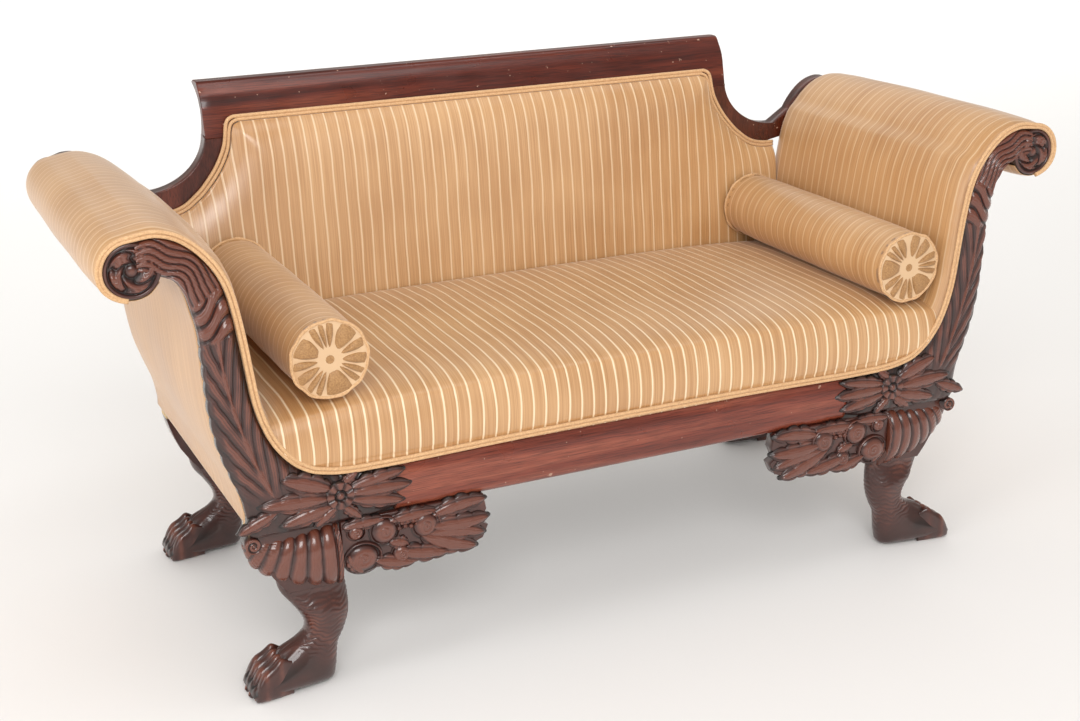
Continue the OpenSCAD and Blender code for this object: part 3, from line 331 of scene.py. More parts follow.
def smooth_line(points, steps):
    """Catmull-Rom curve: half of 2b + (c-a)t + (2a-5b+4c-d)t^2 + (3b-a-3c+d)t^3 between b and c."""
    p = np.asarray(points, float)
    k = np.arange((len(p) - 1) * steps + 1) / steps
    i = np.minimum(k.astype(int), len(p) - 2)
    t = (k - i)[:, None]
    a, b, c, d = p[np.maximum(i - 1, 0)], p[i], p[i + 1], p[np.minimum(i + 2, len(p) - 1)]
    curved = (2 * a - 5 * b + 4 * c - d) * t ** 2 + (3 * b - a - 3 * c + d) * t ** 3
    return 0.5 * (2 * b + (c - a) * t + curved)


def mixed_colour(tree, share, first, second, blend_type="MIX"):
    """The second colour laid over the first by a share; each is a source or a fixed value."""
    feeds = {0: share, 6: first, 7: second}
    return add_node(tree, "ShaderNodeMix", feeds, data_type="RGBA", blend_type=blend_type).outputs[2]


def polished_mahogany(name, grain_axis, dark="#551c0f", middle="#76311f", pale="#94503a"):
    """French polish over mahogany: ribbon grain about 25 mm wide and pores about 1 mm wide along one axis,
    small pale nicks, and a coat that gives the eye a soft mirror."""
    finish, tree, shader, place = new_finish(name, Coat_Weight=0.4, Coat_Roughness=0.12, IOR=1.48)
    ribbon = cloudy(tree, drawn_out(tree, place, grain_axis, 38.0, 2.2), 1.0, 4.0, Distortion=0.4)
    pores = cloudy(tree, drawn_out(tree, place, grain_axis, 900.0, 22.0), 1.0, 4.0, Distortion=0.4)
    ribbon_colour = colour_bands(tree, ribbon, [(0.3, dark), (0.5, middle), (0.72, pale)])
    pore_colour = colour_bands(tree, pores, [(0.36, "#8f7a74"), (0.55, "#ffffff")])
    grained = mixed_colour(tree, 0.75, ribbon_colour, pore_colour, "MULTIPLY")
    nicks = map_level(tree, cloudy(tree, place, 95.0, 2.0), 0.71, 0.75)
    worn = mixed_colour(tree, nicks, grained, linear("#a98672"))
    tree.links.new(worn, shader.inputs["Base Color"])
    dull = map_level(tree, cloudy(tree, place, 14.0, 3.0), 0.3, 0.7, 0.24, 0.42)
    tree.links.new(dull, shader.inputs["Roughness"])
    add_ridges(tree, shader, pores, 0.12, 0.0006)
    return finish


mahogany_along = polished_mahogany("polished_mahogany_rails", 0)
mahogany_crest = polished_mahogany("polished_mahogany_crest", 0, "#3d0e03", "#5a1c0a", "#77331b")
mahogany_upright = polished_mahogany("polished_mahogany_stiles", 2, "#3a1409", "#542214", "#6c3323")
show_rail_face, show_rail_y, show_rail_arch = 11, 3, 5
show_rail_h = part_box("show_rail")[1].z / mm - rail_z
rail_across = np.linspace(-leaf_x, leaf_x, 141)
rail_top = rail_z + show_rail_h - show_rail_arch * (rail_across / leaf_x) ** 2
rail_turn = np.linspace(-1, 1, 25)
rail_round = show_rail_y + show_rail_face * (1 - np.sqrt(1 - 0.96 * rail_turn ** 2)) / (1 - np.sqrt(0.04))
rail_rings = np.zeros((len(rail_across), len(rail_turn) + 2, 3))
rail_rings[:, :, 0] = rail_across[:, None]
rail_rings[:, :-2, 1] = rail_round
rail_rings[:, -2:, 1] = facing_t
rail_rings[:, :-2, 2] = rail_z + (rail_top[:, None] - rail_z) * (rail_turn + 1) / 2
rail_rings[:, -2, 2] = rail_top
rail_rings[:, -1, 2] = rail_z
show_rail = outward_skin("polished_show_rail", [rail_rings], mahogany_along)
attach(show_rail, "settee")
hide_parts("show_rail")


# Crest rail: a deep moulding of mahogany, hollow below and rolled back to a soft lip along the top.
# It is run in one length and sawn square at both ends, with the sharp corners rubbed off.
crest_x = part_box("crest_rail")[1].x / mm
crest_low_z, crest_z = (corner.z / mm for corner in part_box("crest_rail"))
crest_foot_y, crest_back_y = (corner.y / mm - front_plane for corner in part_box("crest_rail"))
crest_front_share = [
    (0, 0), (0.045, 0.18), (0.1, 0.39), (0.143, 0.56), (0.233, 0.72), (0.407, 0.89), (0.523, 0.985),
    (0.7, 1), (0.9, 0.99)
]
crest_rear_share = [
    (1, 0.955), (0.785, 0.88), (0.54, 0.763), (0.364, 0.6), (0.277, 0.41), (0.306, 0.18), (0.407, 0)
]
crest_share = np.concatenate([smooth_line(crest_front_share, 8), smooth_line(crest_rear_share, 8)])
crest_size = np.array([crest_back_y - crest_foot_y, crest_z - crest_low_z])
crest_profile = np.array([crest_foot_y, crest_low_z]) + crest_share * crest_size
crest_middle = crest_profile.mean(0)
rubbed = 1.6
crest_half = np.concatenate([np.linspace(0, crest_x - rubbed, 30), [crest_x - rubbed / 2, crest_x]])
crest_stations = np.concatenate([-crest_half[:0:-1], crest_half])
crest_ends = [crest_x - rubbed, crest_x - rubbed / 2, crest_x]
crest_inset = np.interp(np.abs(crest_stations), crest_ends, [0, 0.3, rubbed])
crest_reach = crest_middle - crest_profile
crest_inward = crest_reach / np.linalg.norm(crest_reach, axis=1)[:, None]
crest_rings = np.zeros((len(crest_stations), len(crest_profile), 3))
crest_rings[:, :, 0] = crest_stations[:, None]
crest_rings[:, :, 1:] = crest_profile + crest_inward * crest_inset[:, None, None]
crest = outward_skin("polished_crest_rail", [crest_rings], mahogany_crest)
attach(crest, "settee")
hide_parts("crest_rail")


# Back stiles: sawn boards with a scooped shoulder that runs into a wing behind each arm.
# They are veneered and polished in front, where a narrow band shows round the upholstery.
back_foot_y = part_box("right_back_stile")[0].y / mm - front_plane
back_foot_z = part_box("right_back_stile")[0].z / mm
back_lean = np.radians(5.5)
stile_t, stile_w, scoop_z, scoop_w, neck_z = 28, 50, 666, 110, crest_low_z + 9


def on_back(z, forward=0):
    """Depth of the leaning back plane at height z, less a distance in front of it."""
    return back_foot_y + np.tan(back_lean) * (z - back_foot_z) - forward


arm_inner_share = [
    (0.983, 1.093), (0.906, 1.098), (0.829, 1.077), (0.758, 1.030), (0.697, 0.963), (0.658, 0.888),
    (0.634, 0.794), (0.617, 0.699), (0.601, 0.593), (0.584, 0.493), (0.554, 0.402), (0.510, 0.322),
    (0.446, 0.255), (0.377, 0.213), (0.317, 0.196), (0.245, 0.185), (0.163, 0.180), (0.080, 0.178),
    (0.002, 0.172)
]
arm_outer_share = [
    (0.983, 0.991), (0.934, 0.977), (0.887, 0.965), (0.843, 0.944), (0.807, 0.895), (0.785, 0.827),
    (0.769, 0.757), (0.760, 0.671), (0.755, 0.570), (0.747, 0.465), (0.725, 0.348), (0.689, 0.248),
    (0.653, 0.161), (0.636, 0.084), (0.620, 0.006), (0.480, 0), (0.300, 0), (0.121, 0), (0.002, 0.019)
]
arm_steps = 20


def arm_line(shares, steps):
    """The smooth S of an arm from scroll to corner leaf, from shares of its flare and of its rise."""
    line = smooth_line(shares, steps) * [flare, rise] + [leaf_x, rail_z]
    line[:, 1] = np.maximum(line[:, 1], rail_z)
    return line


arm_wall = arm_line(arm_inner_share, arm_steps)
lower_wall = arm_wall[4 * arm_steps:]
scoop_turn = np.radians(90 - np.linspace(0, 90, 33))
scoop_line = np.column_stack([
    crest_x + scoop_w * (1 - np.cos(scoop_turn)), neck_z - (neck_z - scoop_z) * np.sin(scoop_turn)
])
wing_r, wing_turn = 36, np.radians(np.linspace(215, 450, 40))
wing_line = [scroll_x, scroll_z] + wing_r * np.column_stack([np.cos(wing_turn), np.sin(wing_turn)])
wing_foot_share = np.array([(0.63, 0.845), (0.7, 0.86), (0.78, 0.89), (0.86, 0.925)])
elbow_z = rail_z + 0.835 * rise
arm_gap, corner_x = 27, leaf_x + 0.41 * flare
stile_low_z = np.array([385, 438, 499, 560])
stile_low_x = np.interp(stile_low_z, arm_wall[::-1, 1], arm_wall[::-1, 0]) - arm_gap
stile_outline = np.concatenate([
    [(crest_x - stile_w, back_foot_z), (corner_x - 0.3, back_foot_z)],
    np.column_stack([stile_low_x, stile_low_z]),
    [(arm_wall[6 * arm_steps, 0] - arm_gap, elbow_z)],
    wing_foot_share * [flare, rise] + [leaf_x, rail_z],
    wing_line, arm_wall[arm_steps // 2:4 * arm_steps], scoop_line[:-1],
    [(crest_x, crest_low_z), (crest_x - stile_w, crest_low_z)]
])


def unit_left(heading):
    """The unit vector to the left of each heading (x, z): (-z, x) / |heading|."""
    return np.column_stack([-heading[:, 1], heading[:, 0]]) / np.linalg.norm(heading, axis=1)[:, None]


def at_depth(line, y):
    """Points (x, z) as (x, y, z), where y is one depth or a depth for each point."""
    return np.column_stack([line[:, 0], y + 0 * line[:, 0], line[:, 1]])


def board_rings(outline, front_y, back_y, rub=1.5):
    """A board cut to an outline of (x, z), from a front depth to a back depth that may follow z,
    its front corner rubbed round: the outline shrinks by rub towards its middle over the last rub."""
    outline = np.asarray(outline, float)
    edge = np.roll(outline, -1, 0) - np.roll(outline, 1, 0)
    area = (outline[:, 0] * np.roll(outline[:, 1], -1) - np.roll(outline[:, 0], -1) * outline[:, 1]).sum()
    inward = unit_left(edge) * np.sign(area)
    rings = []
    for shrink, sunk in ((1, 0), (0.3, 0.3), (0, 1)):
        p = outline + inward * rub * shrink
        rings.append(at_depth(p, front_y(p[:, 1]) + rub * sunk))
    rings.append(at_depth(outline, back_y(outline[:, 1])))
    return np.array(rings)


stile_rings = board_rings(stile_outline, on_back, lambda z: on_back(z, -stile_t))
for side, place in (("right", stile_rings), ("left", other_side(stile_rings))):
    stile = outward_skin(f"{side}_polished_stile", [place], mahogany_upright)
    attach(stile, "settee")
    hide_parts(f"{side}_back_stile")


# Carved arm facings: each is one mahogany board with a leafy eye in its scroll, a leaf folded over the
# scroll, twisted folds of ribbon, a long acanthus leaf down the arm and leaves round a rosette.
def carved_wood(name):
    """Dark stained and polished carving: colour and gloss follow the carved depth. The deep ground is painted
    near black as shade, and the ridges red-brown, partly as rubbed wear and partly as painted highlight;
    chatter marks of the gouge are about 4 mm apart."""
    finish, tree, shader, place = new_finish(name, Coat_Weight=0.7, Coat_Roughness=0.09, IOR=1.5)
    depth = add_node(tree, "ShaderNodeAttribute", attribute_name="carved_depth_shade").outputs["Fac"]
    lifted = maths(tree, "MULTIPLY_ADD", cloudy(tree, place, 28.0, 4.0), 0.5, depth)
    # Painted shade and highlight: near black where the carving is deep, red-brown on the ridges, which are
    # partly also rubbed wear.
    colour = colour_bands(tree, lifted, [
        (0.25, "#0e0504"), (0.5, "#26100b"), (0.85, "#411d15"), (1.0, "#643628")
    ])
    tree.links.new(colour, shader.inputs["Base Color"])
    tree.links.new(map_level(tree, lifted, 0.3, 1.1, 0.55, 0.27), shader.inputs["Roughness"])
    add_ridges(tree, shader, cloudy(tree, place, 260.0, 3.0), 0.3, 0.0008)
    return finish


def smooth_step(value, low, high):
    """0 below low, 1 above high, and 3t^2 - 2t^3 between."""
    t = np.clip((value - low) / (high - low), 0, 1)
    return t * t * (3 - 2 * t)


def rounded(phase, sharpness=0.6):
    """A row of rounded ridges, a unit apart, with narrow cuts between: |sin(pi phase)| ^ sharpness."""
    return np.abs(np.sin(np.pi * phase)) ** sharpness


def run_along(line):
    """The length of a line from its first point to each of its points: the sum of |step|."""
    return np.concatenate([[0], np.cumsum(np.linalg.norm(np.diff(line, axis=0), axis=1))])


carving = carved_wood("carved_mahogany_stain_and_painted_shade")
scroll_r, facing_edge_y, facing_crown = 40, 10, 6
facing_steps, facing_cut = 36, 6.0
# Rows of the arm between which the cap leaf ends, the long leaf begins, and the corner leaves begin
cap_end_rows, leaf_start_rows, corner_rows = (4.55, 4.8), (6.35, 6.6), (12.2, 13.6)
facing_inner = arm_line(arm_inner_share, facing_steps)
facing_outer = arm_line(arm_outer_share, facing_steps)
facing_row = (np.arange(len(facing_inner)) / facing_steps)[:, None]
facing_run = run_along((facing_inner + facing_outer) / 2)[:, None]
facing_wide = np.linalg.norm(facing_outer - facing_inner, axis=1)[:, None]
facing_s = np.linspace(-1, 1, 81)[None, :]
facing_vein = 0.12 * np.sin(facing_row * 1.1)


def facing_relief():
    """Height of the carving over the facing's crown, from 0 to about 1, over the grid of row and s.
    Flutes that bend on the cap leaf, slanting folds of ribbon, then long leaflets on each side of a raised
    vein: rounded((run + 1.8 width off ^ 0.8) / 56), which sweeps each one along the arm, with four finer
    veins in each. The leaflets waver by 4 mm, and low leaves spread round the rosette at the corner."""
    s, row, run, wide = facing_s, facing_row, facing_run, facing_wide
    cap = 0.25 + 0.75 * rounded(s * 2.6 + 0.35 * np.sin(row * 2.4) + 0.12 * np.sin(run / 9), 0.6)
    cap = cap * (0.85 + 0.15 * rounded(s * 7.8 + row, 0.8))
    twist = (run - 0.2 * s * wide - 5 * np.sin(np.pi * s)) / 25.0
    folds = 0.1 + 1.1 * rounded(twist, 0.8) * (1 - 0.5 * s ** 4)
    folds = folds * (0.9 + 0.1 * rounded(4 * twist, 0.8))
    off = np.abs(s - facing_vein)
    sweep = run - facing_run[int(6.4 * facing_steps)] + 1.8 * wide * off ** 0.8
    sweep = sweep + 4 * np.sin(run / 23 + 2 * s)
    leaflet = sweep / 56.0
    lobe = rounded(leaflet, 0.55) * (1 - 0.25 * np.exp(-(off / 0.3) ** 2))
    leaf = 0.15 + 0.65 * lobe * (0.66 + 0.34 * rounded(leaflet * 4, 0.6))
    leaf = leaf * (1 - 0.5 * smooth_step(off, 0.7, 1.0)) + 0.55 * np.exp(-(off / 0.08) ** 2)
    low_x = facing_inner[:, :1] * (1 - s) / 2 + facing_outer[:, :1] * (1 + s) / 2
    low_z = facing_inner[:, 1:] * (1 - s) / 2 + facing_outer[:, 1:] * (1 + s) / 2
    away = np.hypot(low_x - rosette_x, low_z - rosette_z)
    round_turn = np.arctan2(low_z - rosette_z, low_x - rosette_x)
    spread = rounded(round_turn / np.pi * 7 + away / 95, 0.6) * (0.7 + 0.3 * rounded(away / 17, 0.8))
    spread = 0.1 + 0.3 * spread
    in_cap = 1 - smooth_step(row, *cap_end_rows)
    in_leaf = smooth_step(row, *leaf_start_rows)
    in_low = smooth_step(row + 0.8 * s, *corner_rows)
    lower = leaf * (1 - in_low) + spread * in_low
    return cap * in_cap + folds * (1 - in_cap) * (1 - in_leaf) * 1.15 + lower * in_leaf


rosette_x = leaf_x + 0.25 * flare
rosette_z = rail_z + 0.57 * show_rail_h
facing_high = facing_relief()
facing_rim = 1 - smooth_step(np.abs(facing_s), 0.86, 0.99)
facing_front = facing_edge_y - facing_crown * (1 - np.abs(facing_s) ** 2.6)
facing_front = facing_front - facing_cut * facing_high * (0.25 + 0.75 * facing_rim)
on_leaf = smooth_step(facing_row, 6.3, 6.8) * (1 - smooth_step(facing_row, 11.6, 12.4))
leaf_edge = 2.2 * rounded((facing_run - 8) / 27.0, 0.8) * on_leaf
facing_spread = facing_s * (1 + 2 * leaf_edge / facing_wide * (facing_s > 0))
facing_rings = np.zeros((len(facing_row), facing_s.size + 3, 3))
for axis, place in ((0, 0), (2, 1)):
    inner, outer = facing_inner[:, place:place + 1], facing_outer[:, place:place + 1]
    facing_rings[:, :-3, axis] = inner + (outer - inner) * (facing_spread + 1) / 2
    facing_rings[:, -3:, axis] = facing_rings[:, [-4, facing_s.size // 2, 0], axis]
facing_rings[:, :-3, 1] = facing_front
facing_rings[:, -3:, 1] = facing_t
# The relief height, which the carved finish paints as shade on the low ground and as highlight on the high
# relief.
facing_depth = np.concatenate([facing_high, np.zeros((len(facing_row), 3))], 1)


def carved_disc(centre_x, centre_z, radius, back_y, front_y, relief, rings=46, around=160):
    """A turned and carved boss: rings of a disc whose front stands at front_y less relief(r, angle)
    millimetres, and whose rim runs back to back_y. Gives its rings and their carved depth."""
    r = np.linspace(0.004, 1, rings)[:, None]
    angle = np.linspace(0, 2 * np.pi, around, endpoint=False)[None, :]
    high = relief(r, angle)
    disc = np.zeros((rings + 1, around, 3))
    disc[:-1, :, 0] = centre_x + radius * r * np.cos(angle)
    disc[:-1, :, 1] = front_y - high
    disc[:-1, :, 2] = centre_z + radius * r * np.sin(angle)
    disc[-1] = disc[-2]
    disc[-1, :, 1] = back_y
    # The carved depth it gives is painted by the carved finish as shade on the low ground and as highlight on
    # the high relief.
    return disc, np.concatenate([high / max(high.max(), 0.1), np.zeros((1, around))])


def eye_relief(r, angle):
    """Five leaves with waved edges that swirl, |sin(2.5 angle + 4.2 r + 0.5 sin(15 r + angle))|, between a
    round boss and a raised rim."""
    inside = 1 - smooth_step(r, 0.72, 0.84)
    swirl = (angle * 2.5 + 4.2 * r + 0.5 * np.sin(15 * r + angle)) / np.pi
    leaves = 7.0 * rounded(swirl, 0.7) * smooth_step(r, 0.2, 0.45) * inside
    ribs = 1.5 * rounded(swirl * 4 + 0.3 * np.sin(9 * r), 0.8) * smooth_step(r, 0.35, 0.5) * inside
    rim = 5.5 * smooth_step(r, 0.8, 0.86) * np.sqrt(np.clip(1 - ((r - 0.91) / 0.1) ** 2, 0, 1))
    boss = 6.0 * np.sqrt(np.clip(1 - (r / 0.24) ** 2, 0, 1))
    return leaves + ribs + rim + boss


def rosette_relief(r, angle):
    """Eight petals, |cos 4 angle|, hollowed towards a turned button with a cut ring."""
    petals = 4.6 * (0.35 + 0.65 * rounded((angle * 4) / np.pi + 0.5, 0.6)) * smooth_step(r, 0.3, 0.5)
    petals = petals * (1 - smooth_step(r, 0.9, 1.0))
    button = 6.0 * np.sqrt(np.clip(1 - (r / 0.3) ** 2, 0, 1)) - 1.2 * np.exp(-((r - 0.18) / 0.03) ** 2)
    return petals + np.maximum(button, 0)


eye_rings, eye_depth = carved_disc(scroll_x, scroll_z, scroll_r, facing_t, 7, eye_relief)
rosette_rings, rosette_depth = carved_disc(rosette_x, rosette_z, 23, 8, -0.5, rosette_relief, 34, 128)


def leaf_skin(root, tip, half_w, thick, base_y, veins=4, bow=0.0):
    """An acanthus leaf from root to tip, places (x, z): its half width follows sin(pi t^0.8)^0.6, its edge
    is notched between lobes, and bow swings its middle aside. It stands thick proud of base_y, with a
    midrib and with flutes that bend out into the lobes, rounded(2.2 |s| - 0.22 t veins s^2)."""
    t = np.linspace(0.02, 0.995, 64)[:, None]
    s = np.linspace(-1, 1, 27)[None, :]
    root, along = np.asarray(root, float), np.asarray(tip, float) - root
    across = np.array([-along[1], along[0]]) / np.linalg.norm(along)
    lobe = rounded(t * veins + 0.25, 0.6)
    notch = 0.34 * (1 - lobe) * np.abs(s) ** 3
    wide = half_w * np.sin(np.pi * t ** 0.8) ** 0.6 * (1 - notch)
    swing = bow * np.sin(np.pi * t)
    flute = rounded(2.2 * np.abs(s) - 0.22 * t * veins * s ** 2, 0.6)
    high = thick * (1 - np.abs(s) ** 4) * np.sin(np.pi * t ** 0.9) ** 0.35 * (0.5 + 0.5 * flute)
    high = high * (1 - 0.3 * (1 - lobe) * np.abs(s)) + 0.5 * thick * np.exp(-(s / 0.1) ** 2)
    high = high * smooth_step(1 - t, 0, 0.1)
    leaf = np.zeros((64, 29, 3))
    for axis, k in ((0, 0), (2, 1)):
        leaf[:, :27, axis] = root[k] + along[k] * t + across[k] * (s * wide + swing)
        leaf[:, 27, axis] = leaf[:, 26, axis]
        leaf[:, 28, axis] = leaf[:, 0, axis]
    leaf[:, :27, 1] = base_y - high
    leaf[:, 27:, 1] = base_y + 4
    # The leaf's height is painted by the carved finish as shade at its edges and as highlight on its midrib
    # and lobes.
    return leaf, np.concatenate([np.clip(high / thick, 0, 1), np.zeros((64, 2))], 1)


# Root, tip, half width and height in millimetres of the leaves that spread from the rosette
corner_leaves = [
    ((rosette_x - 14, rosette_z + 8), (leaf_x - 16, rosette_z + 23), 15, 7),
    ((rosette_x - 14, rosette_z - 10), (leaf_x - 14, rosette_z - 28), 16, 7),
    ((rosette_x - 12, rosette_z), (leaf_x - 27, rosette_z - 2), 17, 8.5),
    ((rosette_x + 10, rosette_z - 14), (rosette_x + 96, rosette_z - 34), 18, 7),
    ((rosette_x + 12, rosette_z + 12), (rosette_x + 92, rosette_z + 42), 22, 8),
    ((rosette_x + 14, rosette_z - 2), (rosette_x + 128, rosette_z + 4), 20, 8.5),
    ((rosette_x - 2, rosette_z - 16), (rosette_x - 34, rosette_z - 45), 11, 6),
    ((rosette_x + 4, rosette_z - 16), (rosette_x + 42, rosette_z - 45), 12, 6),
    ((rosette_x + 96, rosette_z - 8), (rosette_x + 160, rosette_z - 34), 14, 6),
    ((rosette_x - 4, rosette_z + 16), (rosette_x - 30, rosette_z + 34), 10, 6),
]
corner_leaf_y = 3.5
corner_parts = [leaf_skin(*leaf_row, corner_leaf_y) for leaf_row in corner_leaves]
facing_skins = [facing_rings, eye_rings, rosette_rings, *[skin for skin, depth in corner_parts]]
facing_depths = [facing_depth, eye_depth, rosette_depth, *[depth for skin, depth in corner_parts]]
for side, skins in (("right", facing_skins), ("left", [other_side(r) for r in facing_skins])):
    facing = outward_skin(f"{side}_carved_facing", skins, carving, facing_depths)
    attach(facing, "settee")
    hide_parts(f"{side}_arm_facing")


# Paw legs: each is carved from one block, a hairy shank that swells to a lion's paw with four clawed toes.
# The front pair carry a horn of plenty: a ribbed cone with a roped mouth, its tail curled at the top.
leg_x, leg_inset, paw_w, paw_l, horn_h = leaf_x + 0.281 * flare, 37, 78, 143, 93
rail_back_y, rear_rail_y, rear_leg_y = 62, frame_d - 36, frame_d - 9
paw_instep_share = [
    (0.63, 0.77), (0.58, 0.61), (0.46, 0.515), (0.37, 0.44), (0.33, 0.38), (0.345, 0.335), (0.42, 0.3),
    (0.50, 0.278), (0.60, 0.255), (0.70, 0.222), (0.80, 0.185), (0.90, 0.15), (0.975, 0.1), (1.0, 0.05)
]
paw_heel_share = [
    (-0.08, 0.77), (-0.16, 0.6), (-0.17, 0.47), (-0.15, 0.385), (-0.1, 0.31), (-0.03, 0.235), (-0.01, 0.16),
    (0.0, 0.08), (0.05, 0.012), (0.25, 0), (0.5, 0), (0.75, 0), (0.92, 0.002), (0.975, 0.025)
]
paw_width_share = [0.88, 0.86, 0.8, 0.72, 0.65, 0.63, 0.66, 0.74, 0.83, 0.91, 0.97, 1, 0.95, 0.8]
toe_groove_share = [0, 0, 0, 0, 0, 0, 0, 0.02, 0.06, 0.12, 0.2, 0.24, 0.24, 0.14]


def paw_skin(slim=0.0):
    """Rings between the instep and the heel: each is a squarish oval, |cos|^0.9 and |sin|^0.9, cut by
    cos(4 pi w) between the toes. Its coat is wavy locks 8 mm apart with strands in them, which slant down
    to the front and fade on the instep; slim narrows its top by that share, behind the horn."""
    steps = 16
    instep = smooth_line(paw_instep_share, steps) * [paw_l, rail_z] + [leg_x, 0]
    heel = smooth_line(paw_heel_share, steps) * [paw_l, rail_z] + [leg_x, 0]
    rows = np.arange(len(instep)) / steps
    known = np.arange(len(paw_width_share))
    half = (np.interp(rows, known, paw_width_share) * paw_w / 2)[:, None]
    behind = slim * (1 - smooth_step(rows, 0.9, 2.4))[:, None]
    groove = np.interp(rows, known, toe_groove_share)[:, None]
    turn = (np.linspace(0, 2 * np.pi, 160, endpoint=False) + 0.02)[None, :]
    h = np.sign(np.cos(turn)) * np.abs(np.cos(turn)) ** 0.9
    w = np.sign(np.sin(turn)) * np.abs(np.sin(turn)) ** 0.9
    between = (0.5 + 0.5 * np.cos(4 * np.pi * w)) ** 1.6
    toes = np.where(h > 0, 1 - groove * between * np.clip(h * 2.5, 0, 1), 1)
    middle, reach = (instep + heel) / 2, (instep - heel) / 2
    run = run_along(middle)[:, None]
    flow = run - 15 * h + 9 * np.sin(turn + 0.6) + 2.6 * np.sin(5 * turn + run / 19)
    flow = flow + 1.5 * np.sin(11 * turn - run / 8)
    coat = (1 - smooth_step(rows, 5.6, 7.6))[:, None] * (1 - 0.85 * smooth_step(h, 0.7, 0.97))
    coat = coat * (0.9 * rounded(flow / 8.0, 0.8) + 0.45 * rounded(flow / 2.7, 0.8))
    tendon = 1.0 * rounded(2 * w + 0.5, 0.8) * np.clip(h, 0, 1) * np.exp(-((rows - 7.6) / 1.5) ** 2)[:, None]
    out = 1 + (coat + tendon - 1.0) / np.maximum(half, 12)
    shrunk = 1 - 0.12 * smooth_step(rows, 8.2, 9.6)[:, None] * np.clip(h, 0, 1)
    skin = np.zeros((len(rows), turn.size, 3))
    skin[:, :, 0] = middle[:, :1] + reach[:, :1] * h * toes * out * shrunk
    skin[:, :, 1] = leg_inset + 14 * behind + half * w * out * (1 - behind)
    skin[:, :, 2] = np.maximum(middle[:, 1:] + reach[:, 1:] * h * toes * out * shrunk, 0.0)
    # Painted shade: the level for the carved finish drops to dark in the grooves between the toes and rises
    # on the locks and the tendon as painted highlight.
    depth = np.clip(0.42 + coat / 5.5 + tendon / 5 - 2.2 * (1 - toes), 0, 1)
    return skin, depth


def toe_skin(across, end_share):
    """A toe: squarish ovals, |cos|^0.8 and |sin|^0.8, from mid-paw to its tip, floor to above the instep,
    swelled at two knuckles, exp(-((u - 0.3) / 0.14)^2) and exp(-((u - 0.72) / 0.12)^2), and blunt in
    front, where height and width fall as (1 - v^3.4)^0.4."""
    u = np.linspace(0, 1, 40)[:, None]
    x_share = 0.54 + (end_share - 0.54) * u
    instep = smooth_line(paw_instep_share[4:], 12)
    v = np.clip((u - 0.6) / 0.4, 0, 1)
    blunt = np.clip(1 - v ** 3.4, 0.0005, 1) ** 0.4
    knuckle = 2.2 * np.exp(-((u - 0.3) / 0.14) ** 2) + 2.6 * np.exp(-((u - 0.72) / 0.12) ** 2)
    top = np.interp(x_share - 0.02 * u, instep[:, 0], instep[:, 1]) * rail_z * (1 - 0.1 * v)
    top = (top + knuckle - 1.0) * (0.12 + 0.88 * blunt) - 16 * (1 - smooth_step(u, -0.05, 0.34))
    low = 3.5 * (1 - blunt) + 0.3
    turn = np.linspace(0, 2 * np.pi, 40, endpoint=False)[None, :]
    wide = (10.2 + 0.5 * knuckle) * (0.25 + 0.75 * blunt) * (0.4 + 0.6 * smooth_step(u, 0, 0.5))
    side = np.sign(np.sin(turn)) * np.abs(np.sin(turn)) ** 0.8
    rise = np.sign(np.cos(turn)) * np.abs(np.cos(turn)) ** 0.8
    ring = np.zeros((40, 40, 3))
    ring[:, :, 0] = leg_x + paw_l * x_share + 0 * turn
    ring[:, :, 1] = leg_inset + across * (0.86 + 0.14 * u) + wide * side
    ring[:, :, 2] = np.maximum((top + low) / 2 + (top - low) / 2 * rise, 0.2)
    # Painted shade and highlight: each toe is painted lighter over its knuckles, on top and underneath, and
    # darker on its sides, where it faces the next toe.
    return ring, np.clip(0.4 + knuckle / 10 + 0.12 * (1 - side ** 2), 0, 1)


def claw_skin(at, half_w, length, drop):
    """A claw: rings that shrink as (1 - t^2)^0.5 from the toe out along x and bend down by drop t^2."""
    t = np.linspace(0, 0.98, 14)[:, None]
    turn = np.linspace(0, 2 * np.pi, 16, endpoint=False)[None, :]
    thick = half_w * np.sqrt(1 - t ** 2)
    ring = np.zeros((14, 16, 3))
    ring[:, :, 0] = at[0] + length * t
    ring[:, :, 1] = at[1] + thick * np.cos(turn)
    ring[:, :, 2] = np.maximum(at[2] - drop * t ** 2 + 1.1 * thick * np.sin(turn), 0.2)
    return ring, np.full((14, 16), 0.9)


def board_block(outline, front_y, back_y):
    """A plain block of an (x, z) outline between two depths, with its front corner rubbed off."""
    rings = board_rings(outline, lambda z: 0 * z + front_y, lambda z: 0 * z + back_y, 1.2)
    return rings, np.full(rings.shape[:2], 0.55)


horn_axis_share = [
    (-0.07, 0.5), (0.12, 0.49), (0.33, 0.5), (0.53, 0.56), (0.7, 0.66), (0.83, 0.78), (0.9, 0.86)
]
horn_r_share = [0.49, 0.47, 0.42, 0.35, 0.26, 0.17, 0.1]
head_outline_share = [
    (-0.08, 0), (-0.08, 1), (0.86, 1), (0.84, 0.84), (0.79, 0.6), (0.72, 0.34), (0.6, 0.05), (0.5, -0.15),
    (0.1, -0.15)
]


def head_place(shares):
    """Shares of paw length outwards and of horn height upwards, as places on the leg's head."""
    return np.asarray(shares, float) * [paw_l, horn_h] + [leg_x, rail_z - horn_h]


